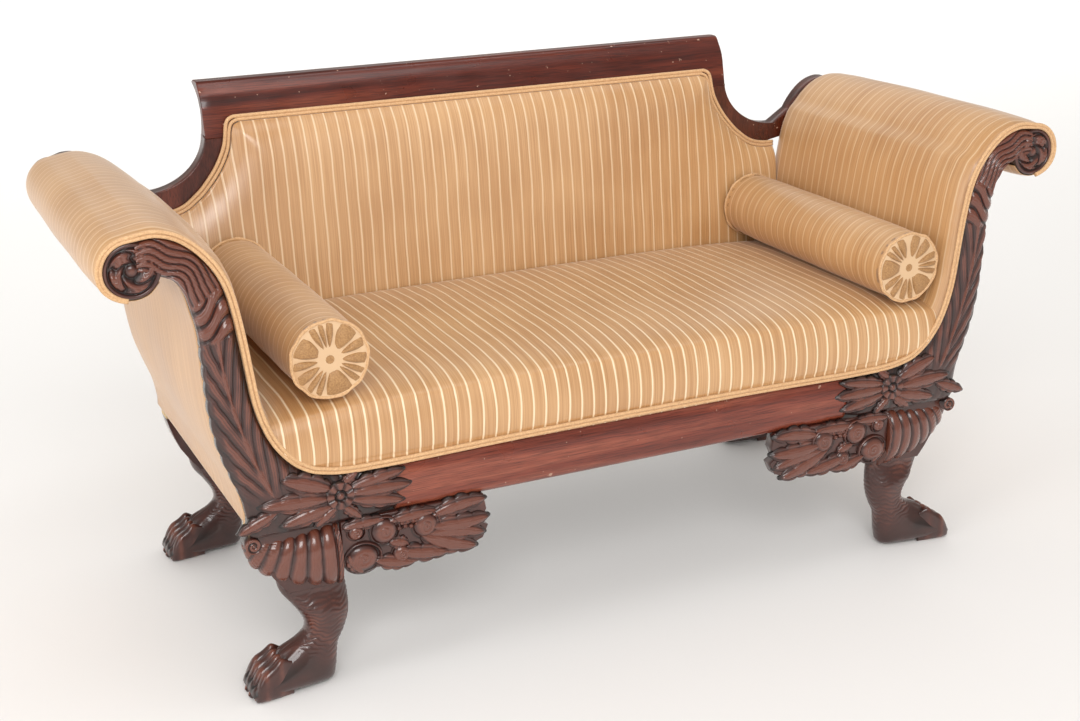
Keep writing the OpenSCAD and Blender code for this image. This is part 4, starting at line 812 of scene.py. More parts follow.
def horn_skin():
    """A cone round a rising axis whose radius swells in ribs, |cos(1.35 pi v)|, each rib bowed towards
    the mouth, fluted near the tail, with a rope of 22 strands twisted round the mouth. Short of the tail
    it hangs 44 % deeper below its axis than it rises above."""
    steps = 44
    axis = smooth_line(head_place(horn_axis_share), steps)
    v = (np.arange(len(axis)) / steps)[:, None]
    normal = unit_left(np.gradient(axis, axis=0))
    turn = np.linspace(0, 2 * np.pi, 120, endpoint=False)[None, :]
    radius = horn_h * np.interp(v, np.arange(len(horn_r_share)), horn_r_share)
    bowed = v + 0.12 * np.cos(turn) ** 2
    rib = rounded(1.35 * bowed + 0.5, 0.7)
    rope = smooth_step(v, 0.0, 0.06) * (1 - smooth_step(v, 0.26, 0.34))
    strands = rounded(turn * 11 / np.pi + v * 5, 0.7)
    flute = rounded(turn * 14 / np.pi, 0.8) * smooth_step(v, 3.2, 4.2)
    out = radius * (0.88 + 0.13 * rib * (1 - rope) + rope * (0.06 + 0.07 * strands) + 0.04 * flute)
    horn = np.zeros((len(axis), turn.size, 3))
    below = np.where(np.cos(turn) < 0, 1 + 0.44 * (1 - smooth_step(v, 4.2, 6.0)), 1)
    horn[:, :, 0] = axis[:, :1] + normal[:, :1] * out * np.cos(turn) * below
    horn[:, :, 1] = leg_inset - 2 + 0.84 * out * np.sin(turn)
    horn[:, :, 2] = np.minimum(axis[:, 1:] + normal[:, 1:] * out * np.cos(turn) * below, rail_z - 0.3)
    # Painted shade in the cuts between the ribs and between the rope's strands, painted highlight on their
    # crowns.
    return horn, np.clip(0.3 + 0.6 * rib * (1 - rope) + 0.7 * rope * strands, 0, 1)


def curl_relief(r, angle):
    """A spiral fillet round a small boss, cut where angle / 2 pi + 1.6 r is whole."""
    return 2.6 * rounded(angle / (2 * np.pi) + 1.6 * r, 0.8) * smooth_step(r, 0.12, 0.3) + 2.5 * (r < 0.16)


head_outline = head_place(head_outline_share)
# Each toe's place across the paw in millimetres, and its reach as a share of the paw's length
toe_rows = [(-29, 0.965), (-10, 1.0), (10, 1.0), (29, 0.965)]
claw_half_w, claw_length, claw_drop = 3.6, 6, 7
toe_parts = [toe_skin(*toe_row) for toe_row in toe_rows]
claw_places = [(leg_x + paw_l * (reach - 0.03), leg_inset + y, 13) for y, reach in toe_rows]
toe_parts += [claw_skin(place, claw_half_w, claw_length, claw_drop) for place in claw_places]
rear_shift = np.array([0, rear_leg_y - leg_inset, 0])
front_parts = [
    paw_skin(0.36), *toe_parts, board_block(head_outline, 20, rail_back_y), horn_skin(),
    carved_disc(leg_x + 0.86 * paw_l, rail_z - 12, 12, leg_inset, 9, curl_relief, 24, 72)
]
rear_parts = [(skin + rear_shift, depth) for skin, depth in (paw_skin(), *toe_parts)]
rear_parts.append(board_block(head_outline, rear_rail_y, frame_d))
for end, parts in (("front", front_parts), ("rear", rear_parts)):
    for side in ("left", "right"):
        skins = [other_side(skin) if side == "left" else skin for skin, depth in parts]
        leg = outward_skin(f"{end}_{side}_paw_leg", skins, carving, [depth for skin, depth in parts])
        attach(leg, "settee")
        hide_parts(f"{end}_{side}_leg")


# Fruit brackets: a sawn mahogany plate glued under the rail beside each front leg, carved with leaves
# that fan out from the horn's mouth and with five round fruits and a bunch of berries spilling from it.
bracket_x, bracket_y, bracket_t, bracket_l = leg_x - 0.08 * paw_l - 0.3, 5, 22, 240
bracket_outline_share = [
    (0, 1), (0, 0.33), (0.05, 0.2), (0.085, 0.02), (0.12, 0), (0.18, 0.08), (0.27, 0.05), (0.36, 0.09),
    (0.45, 0.03), (0.55, 0.07), (0.64, 0.05), (0.76, 0.12), (0.86, 0.1), (0.96, 0.2), (1, 0.42), (0.95, 0.5),
    (0.99, 0.72), (0.97, 1)
]


def bracket_place(shares):
    """Shares of the bracket's length, inwards from the horn's mouth, and of its height, as places."""
    return np.asarray(shares, float) * [-bracket_l, horn_h] + [bracket_x, rail_z - horn_h]


def fruit_skin(place, radius, squash=1.0, proud=10.5):
    """A fruit drawn out sideways by squash: a dome, proud sqrt(1 - (q / 0.78)^2) at q of its radius, a
    spiral cut round its eye, and the raised lip of its cup, a ridge exp(-((q - 0.9) / 0.07)^2)."""
    centre = bracket_place([place])[0]
    q = np.concatenate([np.linspace(0.01, 1, 36), [1.0]])[:, None]
    turn = np.linspace(0, 2 * np.pi, 48, endpoint=False)[None, :]
    dome = np.sqrt(np.clip(1 - (q / 0.78) ** 2, 0, 1)) + 0 * turn
    eye_cut = 0.16 * rounded(turn / (2 * np.pi) + 3.2 * q, 0.8) * (1 - smooth_step(q, 0.3, 0.42))
    lip = np.exp(-((q - 0.9) / 0.07) ** 2) * (0.45 + 0.3 * np.cos(turn - 2.4))
    high = np.maximum(dome - eye_cut, lip)
    fruit = np.zeros((37, 48, 3))
    fruit[:, :, 0] = centre[0] + radius * q * np.cos(turn) * squash
    fruit[:, :, 2] = centre[1] + radius * q * np.sin(turn)
    fruit[:, :, 1] = bracket_y + 1 - proud * high
    fruit[-1, :, 1] = bracket_y + 4
    # Painted shade and highlight: the fruit is painted light on its crown and lip and dark at its foot, where
    # it meets the bracket.
    return fruit, np.clip(0.2 + 0.7 * high, 0, 1)


berry_places = [
    (0.38 + 0.04 * (k % 4) + 0.018 * (k // 4 % 2), 0.88 - 0.09 * (k // 4) + 0.02 * (k % 2))
    for k in range(12)
]
# Root, tip, half width, height and bow of each leaf, the places as shares of the bracket
bracket_leaves = [
    ((0.52, 0.5), (0.93, 0.08), 22, 8, 4), ((0.6, 0.8), (1.0, 0.93), 19, 7, -3),
    ((0.58, 0.62), (1.02, 0.6), 22, 9, 5), ((0.56, 0.5), (0.99, 0.3), 21, 8, -4),
    ((0.34, 0.3), (0.74, 0.1), 19, 9, 3), ((0.2, 0.22), (0.5, 0.05), 16, 8, 3),
    ((0.3, 0.86), (0.66, 0.9), 15, 7, 0), ((0.0, 0.9), (0.3, 0.93), 14, 7, 0),
    ((0.03, 0.4), (0.13, 0.02), 15, 7, 0), ((0.44, 0.4), (0.3, 0.5), 14, 7, 0)
]
bracket_parts = [
    board_block(bracket_place(bracket_outline_share), bracket_y, bracket_y + bracket_t),
    *[leaf_skin(*bracket_place(leaf_row[:2]), *leaf_row[2:4], bracket_y + 0.8, 4, leaf_row[4])
      for leaf_row in bracket_leaves],
    fruit_skin((0.13, 0.3), 28, 1.15), fruit_skin((0.28, 0.7), 27), fruit_skin((0.56, 0.66), 26),
    fruit_skin((0.39, 0.24), 19), fruit_skin((0.09, 0.78), 16),
    *[fruit_skin(place, 5.8, 1.0, 7) for place in berry_places]
]
for side in ("left", "right"):
    skins = [other_side(skin) if side == "left" else skin for skin, depth in bracket_parts]
    bracket = outward_skin(f"{side}_carved_bracket", skins, carving, [depth for skin, depth in bracket_parts])
    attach(bracket, "settee")
    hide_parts(f"{side}_fruit_bracket")


# Arm pads: satin over cotton wadding, laid up the inside of each arm and wrapped round its scroll.
# The cloth is tacked at both ends and drawn in there, so that the pad is fullest midway along.
def striped_satin(name, stripe_axis, contrast, spacing=21.0):
    """Gold satin with raised pale stripes: a stripe shows where the fraction of coordinate / spacing is
    within 1.5 mm of a half, as strong as its contrast, and wavers by up to 6 mm. The warp threads are
    about 1.6 mm apart, and clouds of tone 150 mm wide."""
    finish, tree, shader, place = new_finish(
        name, Sheen_Weight=0.2, Sheen_Roughness=0.35, Specular_IOR_Level=1.1
    )
    along = add_node(tree, "ShaderNodeSeparateXYZ", {0: place}).outputs[stripe_axis]
    swayed = maths(tree, "MULTIPLY_ADD", cloudy(tree, place, 9.0, 1.0), 0.006, along)
    cell = maths(tree, "FRACT", maths(tree, "DIVIDE", swayed, spacing * mm))
    off = maths(tree, "ABSOLUTE", maths(tree, "SUBTRACT", cell, 0.5))
    stripe = map_level(
        tree, off, 0.8 / spacing, 2.2 / spacing, contrast, 0.0, interpolation_type="SMOOTHSTEP"
    )
    threads = cloudy(tree, drawn_out(tree, place, stripe_axis, 5.0, 620.0), 1.0, 3.0)
    ground = colour_bands(tree, threads, [(0.3, "#b28351"), (0.5, "#c09361"), (0.72, "#cda375")])
    cloud = cloudy(tree, place, 6.5, 2.0)
    toned = colour_bands(tree, cloud, [(0.3, "#ece4da"), (0.7, "#ffffff")])
    shaded = mixed_colour(tree, 1.0, ground, toned, "MULTIPLY")
    striped = mixed_colour(tree, stripe, shaded, linear("#efd9b6"))
    tree.links.new(striped, shader.inputs["Base Color"])
    tree.links.new(map_level(tree, cloud, 0.3, 0.7, 0.34, 0.44), shader.inputs["Roughness"])
    add_ridges(tree, shader, maths(tree, "MULTIPLY_ADD", threads, 0.35, stripe), 0.55, 0.0007)
    return finish


satin_seat, satin_back = striped_satin("satin_seat", 0, 0.8), striped_satin("satin_back", 0, 0.5)
satin_arms, satin_outer = striped_satin("satin_arms", 1, 0.3), striped_satin("satin_outer", 1, 0.12)
arm_pad_t, arm_pad_y0 = 26, 5
pad_depth_share = np.array([
    (0, 0.1), (0.012, 0.4), (0.04, 0.64), (0.1, 0.8), (0.28, 0.94), (0.5, 1), (0.72, 0.94), (0.9, 0.8),
    (0.96, 0.64), (0.988, 0.4), (1, 0.1)
])
pad_row_share = np.array([
    (0.5, 0.7), (3.5, 0.7), (4, 1), (10.5, 1), (11, 0.8), (11.5, 0.8), (12, 0.55), (12.5, 0.3)
])
scroll_pad_share = [0.5, 0.5, 0.5, 0.48, 0.42, 0.32, 0.22, 0.14, 0.1]
pad_low_row, scroll_pad_r = 12.5, scroll_r + 1.4
pad_rows = np.arange(pad_low_row, 0, -0.5)
scroll_turns = np.radians(90 - 30 * np.arange(len(scroll_pad_share)))
wall_part = np.column_stack([
    arm_wall[(pad_rows * arm_steps).astype(int)],
    np.interp(pad_rows, pad_row_share[:, 0], pad_row_share[:, 1])
])
roll_part = np.column_stack([
    scroll_x + scroll_pad_r * np.cos(scroll_turns), scroll_z + scroll_pad_r * np.sin(scroll_turns),
    scroll_pad_share
])
pad_curve = smooth_line(np.concatenate([wall_part, roll_part]), 7)
pad_normal = unit_left(np.gradient(pad_curve[:, :2], axis=0))
pad_run = run_along(pad_curve[:, :2])


def pad_line(y, play):
    """The pad's surface at depth y: the curve moved out by play plus thickness x depth share x own share."""
    depth = np.interp((y - arm_pad_y0) / (frame_d - arm_pad_y0), pad_depth_share[:, 0], pad_depth_share[:, 1])
    return pad_curve[:, :2] + pad_normal * (play + arm_pad_t * depth * pad_curve[:, 2:])


arm_depth = smooth_line(pad_depth_share, 8)
arm_depth[:, 0] = np.maximum.accumulate(arm_depth[:, 0])
arm_rings = []
for depth_share, thick_share in arm_depth:
    y = arm_pad_y0 + (frame_d - arm_pad_y0) * depth_share
    tack = np.exp(-(y - arm_pad_y0) / 26) * np.sin(pad_run / 6.1 + 1.5 * np.sin(pad_run / 37))
    slack = 0.9 * np.sin(pad_run / 83 + y / 61) * np.sin(y / 97) * thick_share
    swell = 0.3 + arm_pad_t * thick_share * pad_curve[:, 2] + 0.7 * tack * thick_share + slack
    outside = pad_curve[:, :2] + pad_normal * swell[:, None]
    inside = (pad_curve[:, :2] + pad_normal * 0.3)[::-1]
    arm_rings.append(at_depth(np.concatenate([outside, inside]), y))
for side in ("left", "right"):
    skin = other_side(arm_rings) if side == "left" else np.array(arm_rings)
    arm_pad = outward_skin(f"{side}_arm_upholstery", [skin], satin_arms)
    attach(arm_pad, "settee")
    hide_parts(f"{side}_arm_pad")


# Outer arm panels: satin stretched over thin wadding, from under the scroll down to the side rail.
panel_rows = np.arange(2 * arm_steps, int(13.5 * arm_steps) + 1, 2)
panel_wall = arm_line(arm_outer_share, arm_steps)[panel_rows]
panel_t_share, panel_front_y = 0.07, facing_t + 0.3
panel_inner = panel_wall + panel_t_share * (arm_wall[panel_rows] - panel_wall)
panel_depth = np.linspace(0, 1, 60)
panel_up = np.linspace(0, 1, len(panel_rows))
panel_out = unit_left(np.gradient(panel_wall, axis=0))
panel_out = panel_out * np.sign(panel_out[len(panel_out) // 2, 0])
panel_rings = []
for depth_share in panel_depth:
    stuffed = 2.6 * (1 - (2 * depth_share - 1) ** 8) * (1 - (2 * panel_up - 1) ** 8)
    stuffed = stuffed + 0.25 * np.sin(panel_up * 31 + 3 * depth_share) * np.exp(-depth_share * 9)
    outside = panel_wall + panel_out * stuffed[:, None]
    y = panel_front_y + (frame_d - panel_front_y) * depth_share
    panel_rings.append(at_depth(np.concatenate([outside, panel_inner[::-1]]), y))
for side in ("left", "right"):
    skin = other_side(panel_rings) if side == "left" else np.array(panel_rings)
    panel = outward_skin(f"{side}_outer_upholstery", [skin], satin_outer)
    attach(panel, "settee")
    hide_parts(f"{side}_outer_panel")


# Back pad: satin over wadding, domed in the middle and sewn thin along its scooped upper edge.
back_edge_share = [
    (-0.105, 1), (-0.035, 0.967), (-0.003, 0.894), (0.014, 0.788), (0.042, 0.675), (0.105, 0.543),
    (0.182, 0.424), (0.259, 0.331), (0.357, 0.225), (0.455, 0.146), (0.559, 0.073), (0.678, 0.026),
    (0.818, 0.003), (0.958, 0)
]
scoop_x, crest_show_h, band_w, welt_w = crest_x + scoop_w, 55, 32, 12


def back_edge(band, steps):
    """The upholstery's upper edge inside a wooden band, from the crest's end down round the scoop."""
    share = smooth_line(back_edge_share, steps)
    low, high = scoop_z - band, crest_z - crest_show_h + band_w - band
    return np.column_stack([crest_x - band, low]) * (1 - share) + share * [scoop_x, high]


back_pad_t, pad_edge_t, pad_low_z, pad_behind = 38, 6, 422, 4.3
pad_edge = back_edge(band_w + welt_w, 6)
pad_top_z = pad_edge[0, 1]
arm_side_x = lower_wall[:, 0] - 0.85 * arm_pad_t
pad_half_w = np.interp(-pad_edge[-1, 1], -lower_wall[:, 1], lower_wall[:, 0]) - 0.85 * arm_pad_t - 2
half_columns = np.concatenate([np.linspace(0, 450, 60), pad_edge[:-2, 0], [pad_half_w - 1]])
half_columns = np.maximum.accumulate(half_columns)
columns = np.concatenate([-half_columns[:0:-1], half_columns])
beside_z = np.interp(np.abs(columns), arm_side_x[::-1], lower_wall[::-1, 1])
column_low = np.maximum(pad_low_z, beside_z + 0.3)
column_top = np.interp(np.abs(columns), pad_edge[:, 0], pad_edge[:, 1], left=pad_top_z)
row_share = np.sin(np.linspace(0, 0.5, 60) * np.pi) ** 0.8
column_z = column_low[:, None] + (column_top - column_low)[:, None] * row_share
column_x = np.abs(columns)[:, None] + 0 * column_z
column_places = np.stack([column_x, column_z], -1)
edge_gap = np.linalg.norm(column_places[:, :, None] - pad_edge, axis=-1).min(-1)
edge_gap = np.minimum(edge_gap, pad_top_z - column_z)
pad_full = pad_edge_t + (back_pad_t - pad_edge_t) * (1 - np.exp(-edge_gap / 30)) * (
    1 - (column_x / pad_half_w) ** 8 / 3
)
pad_full = pad_full + 0.6 * np.exp(-edge_gap / 14) * np.sin(columns / 5.3)[:, None] * (edge_gap > 0.5)
pad_front = on_back(column_z, pad_behind) - pad_full
column_count = column_z.shape[1]
back_rings = np.zeros((len(columns), 2 * column_count, 3))
back_rings[:, :, 0] = columns[:, None]
back_rings[:, :column_count, 1], back_rings[:, :column_count, 2] = pad_front, column_z
back_rings[:, column_count:, 1] = on_back(column_z, pad_behind)[:, ::-1]
back_rings[:, column_count:, 2] = column_z[:, ::-1]
back_pad = outward_skin("back_upholstery", [back_rings], satin_back)
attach(back_pad, "settee")
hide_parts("back_pad")


# Seat: satin over horsehair and springs, crowned from side to side, rounded over the front edge and
# tucked down behind and beside, where it presses into the pads of the arms.
seat_crown_z, seat_y0, seat_tight, seat_floor_z, pad_points_beside = 474, 5, -3.0, 400, 130
seat_rise = seat_crown_z - rail_z - show_rail_h
seat_y1 = on_back(pad_low_z, pad_behind) - back_pad_t
seat_front_share = [(5.0, 0.0), (4.6, 0.09), (2.2, 0.15), (0.6, 0.25), (0.4, 0.37), (1.9, 0.5), (5.0, 0.62)]
seat_deep_share = [
    (0.008, 0.72), (0.022, 0.82), (0.046, 0.88), (0.088, 0.93), (0.145, 0.965), (0.25, 0.995), (0.42, 1),
    (0.6, 1), (0.78, 0.98), (0.94, 0.93), (1, 0.87)
]
seat_profile = np.concatenate([
    np.array(seat_front_share), np.array(seat_deep_share) * [seat_y1 - seat_y0, 1] + [seat_y0, 0]
])
seat_profile = smooth_line(seat_profile, 7)
seat_u = np.sin(np.linspace(-0.5, 0.5, 171) * np.pi)
seat_u = 0.55 * seat_u + 0.45 * np.linspace(-1, 1, 171)
seat_rings = np.zeros((len(seat_profile), 2 * seat_u.size, 3))
for k, (y, share) in enumerate(seat_profile):
    edge_z = seat_crown_z - 22 - (1 - share) * seat_rise * 0.8
    pressed = pad_line(max(y, arm_pad_y0), seat_tight)[:pad_points_beside]
    beside = np.concatenate([arm_wall[:int(pad_low_row * arm_steps):-4], pressed])
    half = np.interp(edge_z, beside[:, 1], beside[:, 0])
    high = edge_z + 5
    x = seat_u * half
    crown = high + (rail_z + show_rail_h + share * seat_rise - high) * (1 - np.abs(seat_u) ** 4.5)
    sprung = 1.3 * np.sin(x / 71 + y / 160) * np.sin(y / 83) * (1 - seat_u ** 4)
    sprung = sprung * smooth_step(share, 0.8, 1.0)
    tacked = 0.5 * np.sin(x / 6.7 + 2 * np.sin(x / 53)) * np.exp(-share / 0.12)
    wood = np.interp(np.abs(x), lower_wall[::-1, 0], lower_wall[::-1, 1])
    floor_z = seat_floor_z + 0 * x
    if y < rail_back_y:
        floor_z = rail_z + show_rail_h + 1 - show_rail_arch * (x / leaf_x) ** 2
    low = np.minimum(np.maximum(np.maximum(floor_z, wood + 0.3), rail_z + show_rail_h - 4), crown - 2.5)
    seat_rings[k, :, 0] = np.concatenate([x, x[::-1]])
    seat_rings[k, :seat_u.size, 1] = y - tacked * 0.8
    seat_rings[k, seat_u.size:, 1] = max(y, seat_y0 + 0.01 * k)
    seat_rings[k, :, 2] = np.concatenate([crown + sprung, low[::-1]])
seat = outward_skin("seat_upholstery", [seat_rings], satin_seat)
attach(seat, "settee")
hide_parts("seat_cover")


# Double welts: two cords side by side in plain satin, glued over the tacks where cloth meets wood.
def plain_satin(name, pale, dark):
    """Satin without stripes: flecks about 2 mm wide in two close tones, slightly raised."""
    finish, tree, shader, place = new_finish(name, Roughness=0.5, Sheen_Weight=0.15, Specular_IOR_Level=0.4)
    flecks = cloudy(tree, place, 420.0, 3.0)
    tree.links.new(colour_bands(tree, flecks, [(0.3, dark), (0.7, pale)]), shader.inputs["Base Color"])
    add_ridges(tree, shader, flecks, 0.35, 0.0006)
    return finish


def cord_skin(line, radius, around=12):
    """A round cord along a line of (x, y, z): at each point a circle across the line's heading."""
    line = np.asarray(line, float)
    heading = np.gradient(line, axis=0)
    heading = heading / np.linalg.norm(heading, axis=1)[:, None]
    side = np.cross(heading, [0, 1, 0])
    side = side / np.linalg.norm(side, axis=1)[:, None]
    lift = np.cross(side, heading)
    turn = np.linspace(0, 2 * np.pi, around, endpoint=False)[None, :, None]
    return line[:, None] + radius * (side[:, None] * np.cos(turn) + lift[:, None] * np.sin(turn))


def whole_line(half_line):
    """A line from the right side to the middle, and on to the left side as its mirror image."""
    return np.concatenate([half_line, half_line[-2::-1] * [-1, 1]])


welt_satin = plain_satin("welt_satin", "#d2ab7f", "#bb9166")
front_welt_r, back_welt_r, front_welt_y, back_welt_proud, cord_insets = 3.0, 3.3, 2.4, 5.0, (3.2, 9.0)
round_scroll = np.radians(np.linspace(-78, 84, 34))
rail_line_x = np.linspace(400, 0, 30)
rail_line_z = rail_z + show_rail_h - show_rail_arch * (rail_line_x / leaf_x) ** 2
rail_line = np.column_stack([rail_line_x, rail_line_z])
welt_half = np.concatenate([
    np.column_stack([scroll_x + scroll_r * np.cos(round_scroll), scroll_z + scroll_r * np.sin(round_scroll)]),
    arm_wall[arm_steps // 2:16 * arm_steps + 1:5],
    rail_line
])
welt_inward = -unit_left(np.gradient(welt_half, axis=0))
# Under and round the scroll the two cords draw together
welt_narrow = np.ones((len(welt_half), 1))
welt_narrow[:len(round_scroll), 0] = 0.3 + 0.5 * smooth_step(round_scroll, -1.36, -0.2)
front_cords = []
back_cords = []
for inset in cord_insets:
    whole = whole_line(welt_half + welt_inward * inset * welt_narrow)
    front_cords.append(cord_skin(at_depth(whole, front_welt_y), front_welt_r))
    edge = back_edge(band_w + inset, 4)[::-1]
    top = np.column_stack([np.linspace(edge[-1, 0], 0, 20)[1:], np.full(19, edge[-1, 1])])
    whole = whole_line(np.concatenate([edge, top]))
    back_cords.append(cord_skin(at_depth(whole, on_back(whole[:, 1], back_welt_proud)), back_welt_r))
for welt_name, cords in (("front_welt", front_cords), ("back_welt", back_cords)):
    welt = outward_skin(f"double_{welt_name}", cords, welt_satin)
    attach(welt, "settee")
    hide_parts(welt_name)


# Bolsters: feather-filled rolls in ringed satin, with a piping round each rim.
# Their ends are plain satin, gathered in fourteen uneven folds to a covered button.
bolster_low, bolster_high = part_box("right_bolster")
bolster_r = (bolster_high.x - bolster_low.x) / 2 / mm
bolster_y0, bolster_y1 = (corner.y / mm - front_plane for corner in (bolster_low, bolster_high))
gathers, piping_r, button_r, button_half_t = 14, 2.6, 12.8, 5.6
bolster_turn = np.linspace(0, 2 * np.pi, 336, endpoint=False)[None, :]
body_share = smooth_line([
    (0.012, 0.3), (0.012, 0.7), (0.02, 0.93), (0.06, 0.985), (0.2, 0.97), (0.6, 0.985), (1.6, 1),
    (2.6, 1.004), (4.13, 1.006)
], 8)
end_share = smooth_line([
    (0.17, 0.05), (0.15, 0.16), (0.1, 0.24), (0.045, 0.36), (0.01, 0.52), (-0.005, 0.68), (0.005, 0.83),
    (0.03, 0.93), (0.06, 0.97)
], 9)


def bolster_body(centre_x, centre_z, phase):
    """Rings of radius share x r whose length share mirrors at the middle; the roll is flattened by 1.2 %
    where it lies and ripples by 0.4 % along its length."""
    from_end = body_share[:, 0] * bolster_r
    y = np.concatenate([bolster_y0 + from_end, bolster_y1 - from_end[::-1]])
    share = np.concatenate([body_share[:, 1], body_share[::-1, 1]])
    ripple = 1 + 0.004 * np.sin(y[:, None] / 19 + 2 * bolster_turn + phase) * (share[:, None] > 0.9)
    ripple = ripple - 0.012 * np.clip(-np.cos(bolster_turn), 0, 1) ** 3
    r = bolster_r * share[:, None] * ripple
    body = np.zeros((len(y), bolster_turn.size, 3))
    body[:, :, 0] = centre_x + r * np.sin(bolster_turn)
    body[:, :, 1] = y[:, None]
    body[:, :, 2] = centre_z + r * np.cos(bolster_turn)
    return body


def bolster_end(centre_x, centre_z, y_end, outwards, phase):
    """A gathered end: folds |sin(7 a)| with a warped angle a + 0.16 sin(3 a) + 0.1 sin(5 a), cut 11 mm deep
    and fading out at the button and under the piping."""
    warped = bolster_turn + 0.16 * np.sin(3 * bolster_turn + phase)
    warped = warped + 0.1 * np.sin(5 * bolster_turn + 2 * phase)
    y_share, r_share = end_share[:, :1], end_share[:, 1:]
    fold = np.abs(np.sin(gathers / 2 * warped)) ** 0.36
    fine = np.abs(np.sin(gathers * 1.5 * warped + phase)) ** 0.7
    cut = 11.0 * (1 - fold) * smooth_step(r_share, 0.06, 0.25) * (1 - smooth_step(r_share, 0.8, 0.96))
    puff = 4.2 * fold * np.sin(np.pi * np.clip((r_share - 0.15) / 0.8, 0, 1)) + 0.8 * fine * (1 - r_share)
    y = y_share * bolster_r + cut - puff
    wavy = 1 + 0.012 * np.sin(gathers * warped) * smooth_step(r_share, 0.6, 0.9)
    end = np.zeros((len(end_share) + 1, bolster_turn.size, 3))
    end[:-1, :, 0] = centre_x + bolster_r * r_share * wavy * np.sin(bolster_turn)
    end[:-1, :, 2] = centre_z + bolster_r * r_share * wavy * np.cos(bolster_turn)
    end[:-1, :, 1] = y_end - outwards * y
    end[-1] = end[-2]
    end[-1, :, 1] = y_end - outwards * 0.2 * bolster_r
    return end


def piping(centre_x, centre_z, y, phase):
    """A cord round the rim, wavering by up to 1.1 mm."""
    turn = np.linspace(0, 2 * np.pi, 161)
    r = bolster_r * 0.975 + 0.7 * np.sin(9 * turn + phase) + 0.4 * np.sin(14 * turn)
    ring = np.column_stack([centre_x + r * np.sin(turn), np.full(161, y), centre_z + r * np.cos(turn)])
    around = np.linspace(0, 2 * np.pi, 12, endpoint=False)[None, :]
    cord = np.repeat(ring[:, None], 12, 1)
    out = (ring - [centre_x, y, centre_z]) / r[:, None]
    deep = np.array([0, 1, 0]) * np.sin(around)[..., None]
    return cord + piping_r * (out[:, None] * np.cos(around)[..., None] + deep)


def button_skin(centre_x, centre_z, y_end, outwards):
    """A covered button: a flattened ball, puckered by 0.4 mm round its rim, in the hollow of an end."""
    lift = np.linspace(0.03, np.pi - 0.03, 20)[:, None]
    turn = np.linspace(0, 2 * np.pi, 40, endpoint=False)[None, :]
    dome = np.zeros((20, 40, 3))
    dome[:, :, 0] = centre_x + button_r * np.sin(lift) * np.cos(turn)
    dome[:, :, 2] = centre_z + button_r * np.sin(lift) * np.sin(turn)
    tucks = 0.4 * np.sin(6 * turn) ** 2 * np.sin(lift)
    dome[:, :, 1] = y_end - outwards * (0.1 * bolster_r - 0.7 - button_half_t * np.cos(lift) + tucks)
    return dome


# Painted shade: the gathered ends and their buttons take a darker copy of the welts' plain satin, standing
# for the shade that falls in the gathers.
gathered_satin_painted_shade = plain_satin("gathered_satin_painted_shade", "#ae8455", "#8d663d")
for side, phase in (("left", 0.6), ("right", 2.1)):
    low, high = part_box(f"{side}_bolster")
    at_x, at_z = (low.x + high.x) / 2 / mm, (low.z + high.z) / 2 / mm
    roll = outward_skin(f"{side}_bolster_roll", [bolster_body(at_x, at_z, phase)], satin_arms)
    ends = outward_skin(f"{side}_bolster_gathers", [
        bolster_end(at_x, at_z, bolster_y0, -1, phase), bolster_end(at_x, at_z, bolster_y1, 1, phase + 1)
    ], gathered_satin_painted_shade)
    cords = outward_skin(f"{side}_bolster_piping", [
        piping(at_x, at_z, bolster_y0 + piping_r, phase), piping(at_x, at_z, bolster_y1 - piping_r, phase)
    ], welt_satin)
    buttons = outward_skin(f"{side}_covered_buttons", [
        button_skin(at_x, at_z, bolster_y0, -1), button_skin(at_x, at_z, bolster_y1, 1)
    ], gathered_satin_painted_shade)
    for soft, slot_name in ((roll, "satin"), (ends, "satin"), (cords, "satin_pale"), (buttons, "satin_pale")):
        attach(soft, f"{side}_bolster_body")
    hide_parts(f"{side}_bolster")
    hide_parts(f"{side}_bolster_buttons")


outside_t, outside_gap, outside_margin, outside_rows = 1.4, 0.4, 24, 90
scoop_edge_x = np.linspace(pad_half_w - outside_margin / 2, crest_x - outside_margin, 13)
scoop_edge_z = neck_z - (neck_z - scoop_z + outside_margin) * np.sqrt(
    np.clip(1 - ((scoop_x - scoop_edge_x) / (scoop_w + outside_margin)) ** 2, 0, 1)
)
outside_low_z = back_foot_z + outside_margin
outside_z = np.linspace(outside_low_z, crest_low_z - 1, outside_rows)
edge_z = np.concatenate([[outside_low_z], stile_low_z[1:], scoop_edge_z])
edge_x = np.concatenate([[corner_x - outside_margin], stile_low_x[1:] - outside_margin / 2, scoop_edge_x])
outside_half = np.interp(outside_z, edge_z, edge_x)[:, None]
outside_s = np.linspace(-1, 1, 121)[None, :]
outside_x = outside_half * outside_s
up_share = ((outside_z - outside_z[0]) / (outside_z[-1] - outside_z[0]))[:, None]
hollow = 1.6 * np.sin(np.pi * up_share) * (1 - outside_s ** 6)
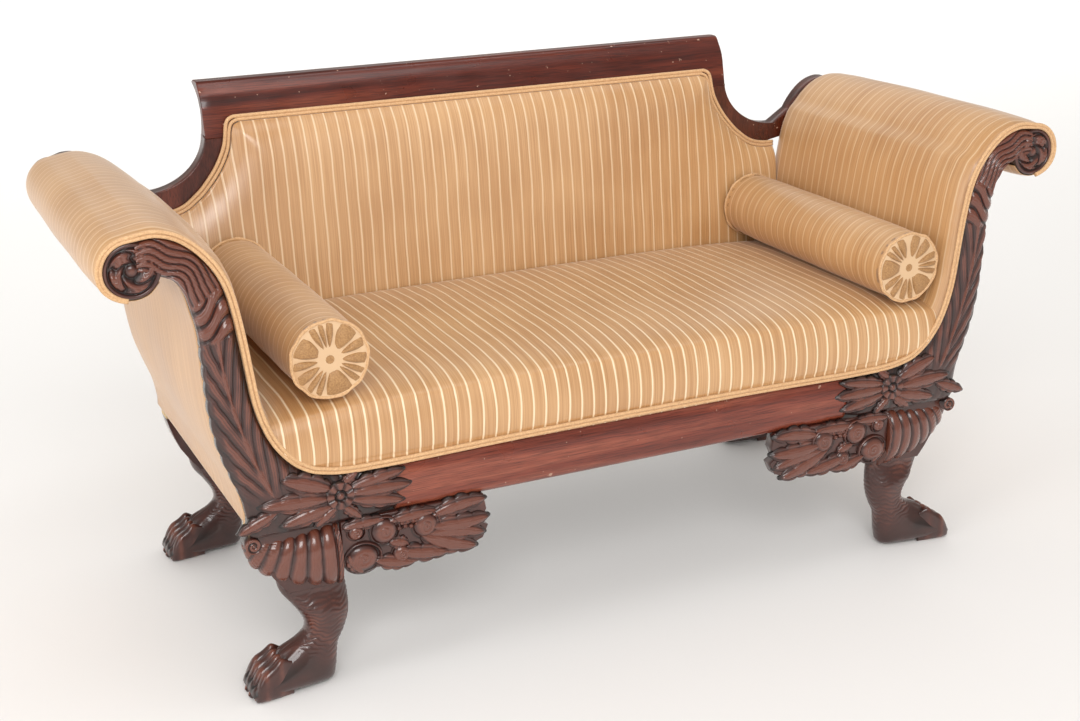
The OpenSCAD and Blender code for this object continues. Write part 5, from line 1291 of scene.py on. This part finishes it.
hollow = hollow + 0.25 * np.sin(outside_x / 7) * np.exp(-up_share * 12)
behind = on_back(outside_z)[:, None] + (stile_t + outside_gap) + hollow
outside_rings = np.zeros((outside_rows, 242, 3))
outside_rings[:, :, 0] = np.concatenate([outside_x, outside_x[:, ::-1]], 1)
outside_rings[:, :, 1] = np.concatenate([behind, behind[:, ::-1] + outside_t], 1)
outside_rings[:, :, 2] = outside_z[:, None]
outside_back = outward_skin("outside_back_cloth", [outside_rings], satin_back)
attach(outside_back, "settee")
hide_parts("outside_back")


# Dust cover: black cambric stapled under the seat frame, sagging a little between the rails.
cambric = coarse_cloth("black_cambric", "#2b2a29", "#191817", 0.9)
dust_low, dust_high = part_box("dust_cover")
dust_z = dust_high.z / mm
dust_half_x = dust_high.x / mm
dust_y0, dust_y1 = dust_low.y / mm - front_plane, dust_high.y / mm - front_plane
dust_wing = np.linspace(corner_x, dust_half_x, 6)
dust_x = np.concatenate([-dust_wing[::-1], np.linspace(-corner_x + 1, corner_x - 1, 120), dust_wing])
wide_part = np.abs(dust_x) < corner_x
dust_front = np.where(wide_part, dust_y0, rail_back_y + 1)[:, None]
dust_rear = np.where(wide_part, dust_y1, frame_d - rail_back_y + 25)[:, None]
dust_s = np.linspace(0, 1, 70)[None, :]
dust_y = dust_front + (dust_rear - dust_front) * dust_s
sag = 4.5 * np.sin(np.pi * dust_s) ** 0.8 * np.clip(1 - (dust_x / dust_half_x) ** 4, 0, 1)[:, None]
sag = sag + 0.4 * np.sin(dust_x[:, None] / 9) * np.exp(-dust_s * 14)
dust_rings = np.zeros((len(dust_x), 140, 3))
dust_rings[:, :, 0] = dust_x[:, None]
dust_rings[:, :, 1] = np.concatenate([dust_y, dust_y[:, ::-1]], 1)
dust_rings[:, :, 2] = np.concatenate([dust_z - 0.4 - sag, dust_z - 1.2 - sag[:, ::-1]], 1)
dust_cover = outward_skin("cambric_dust_cover", [dust_rings], cambric)
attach(dust_cover, "settee")
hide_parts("dust_cover")
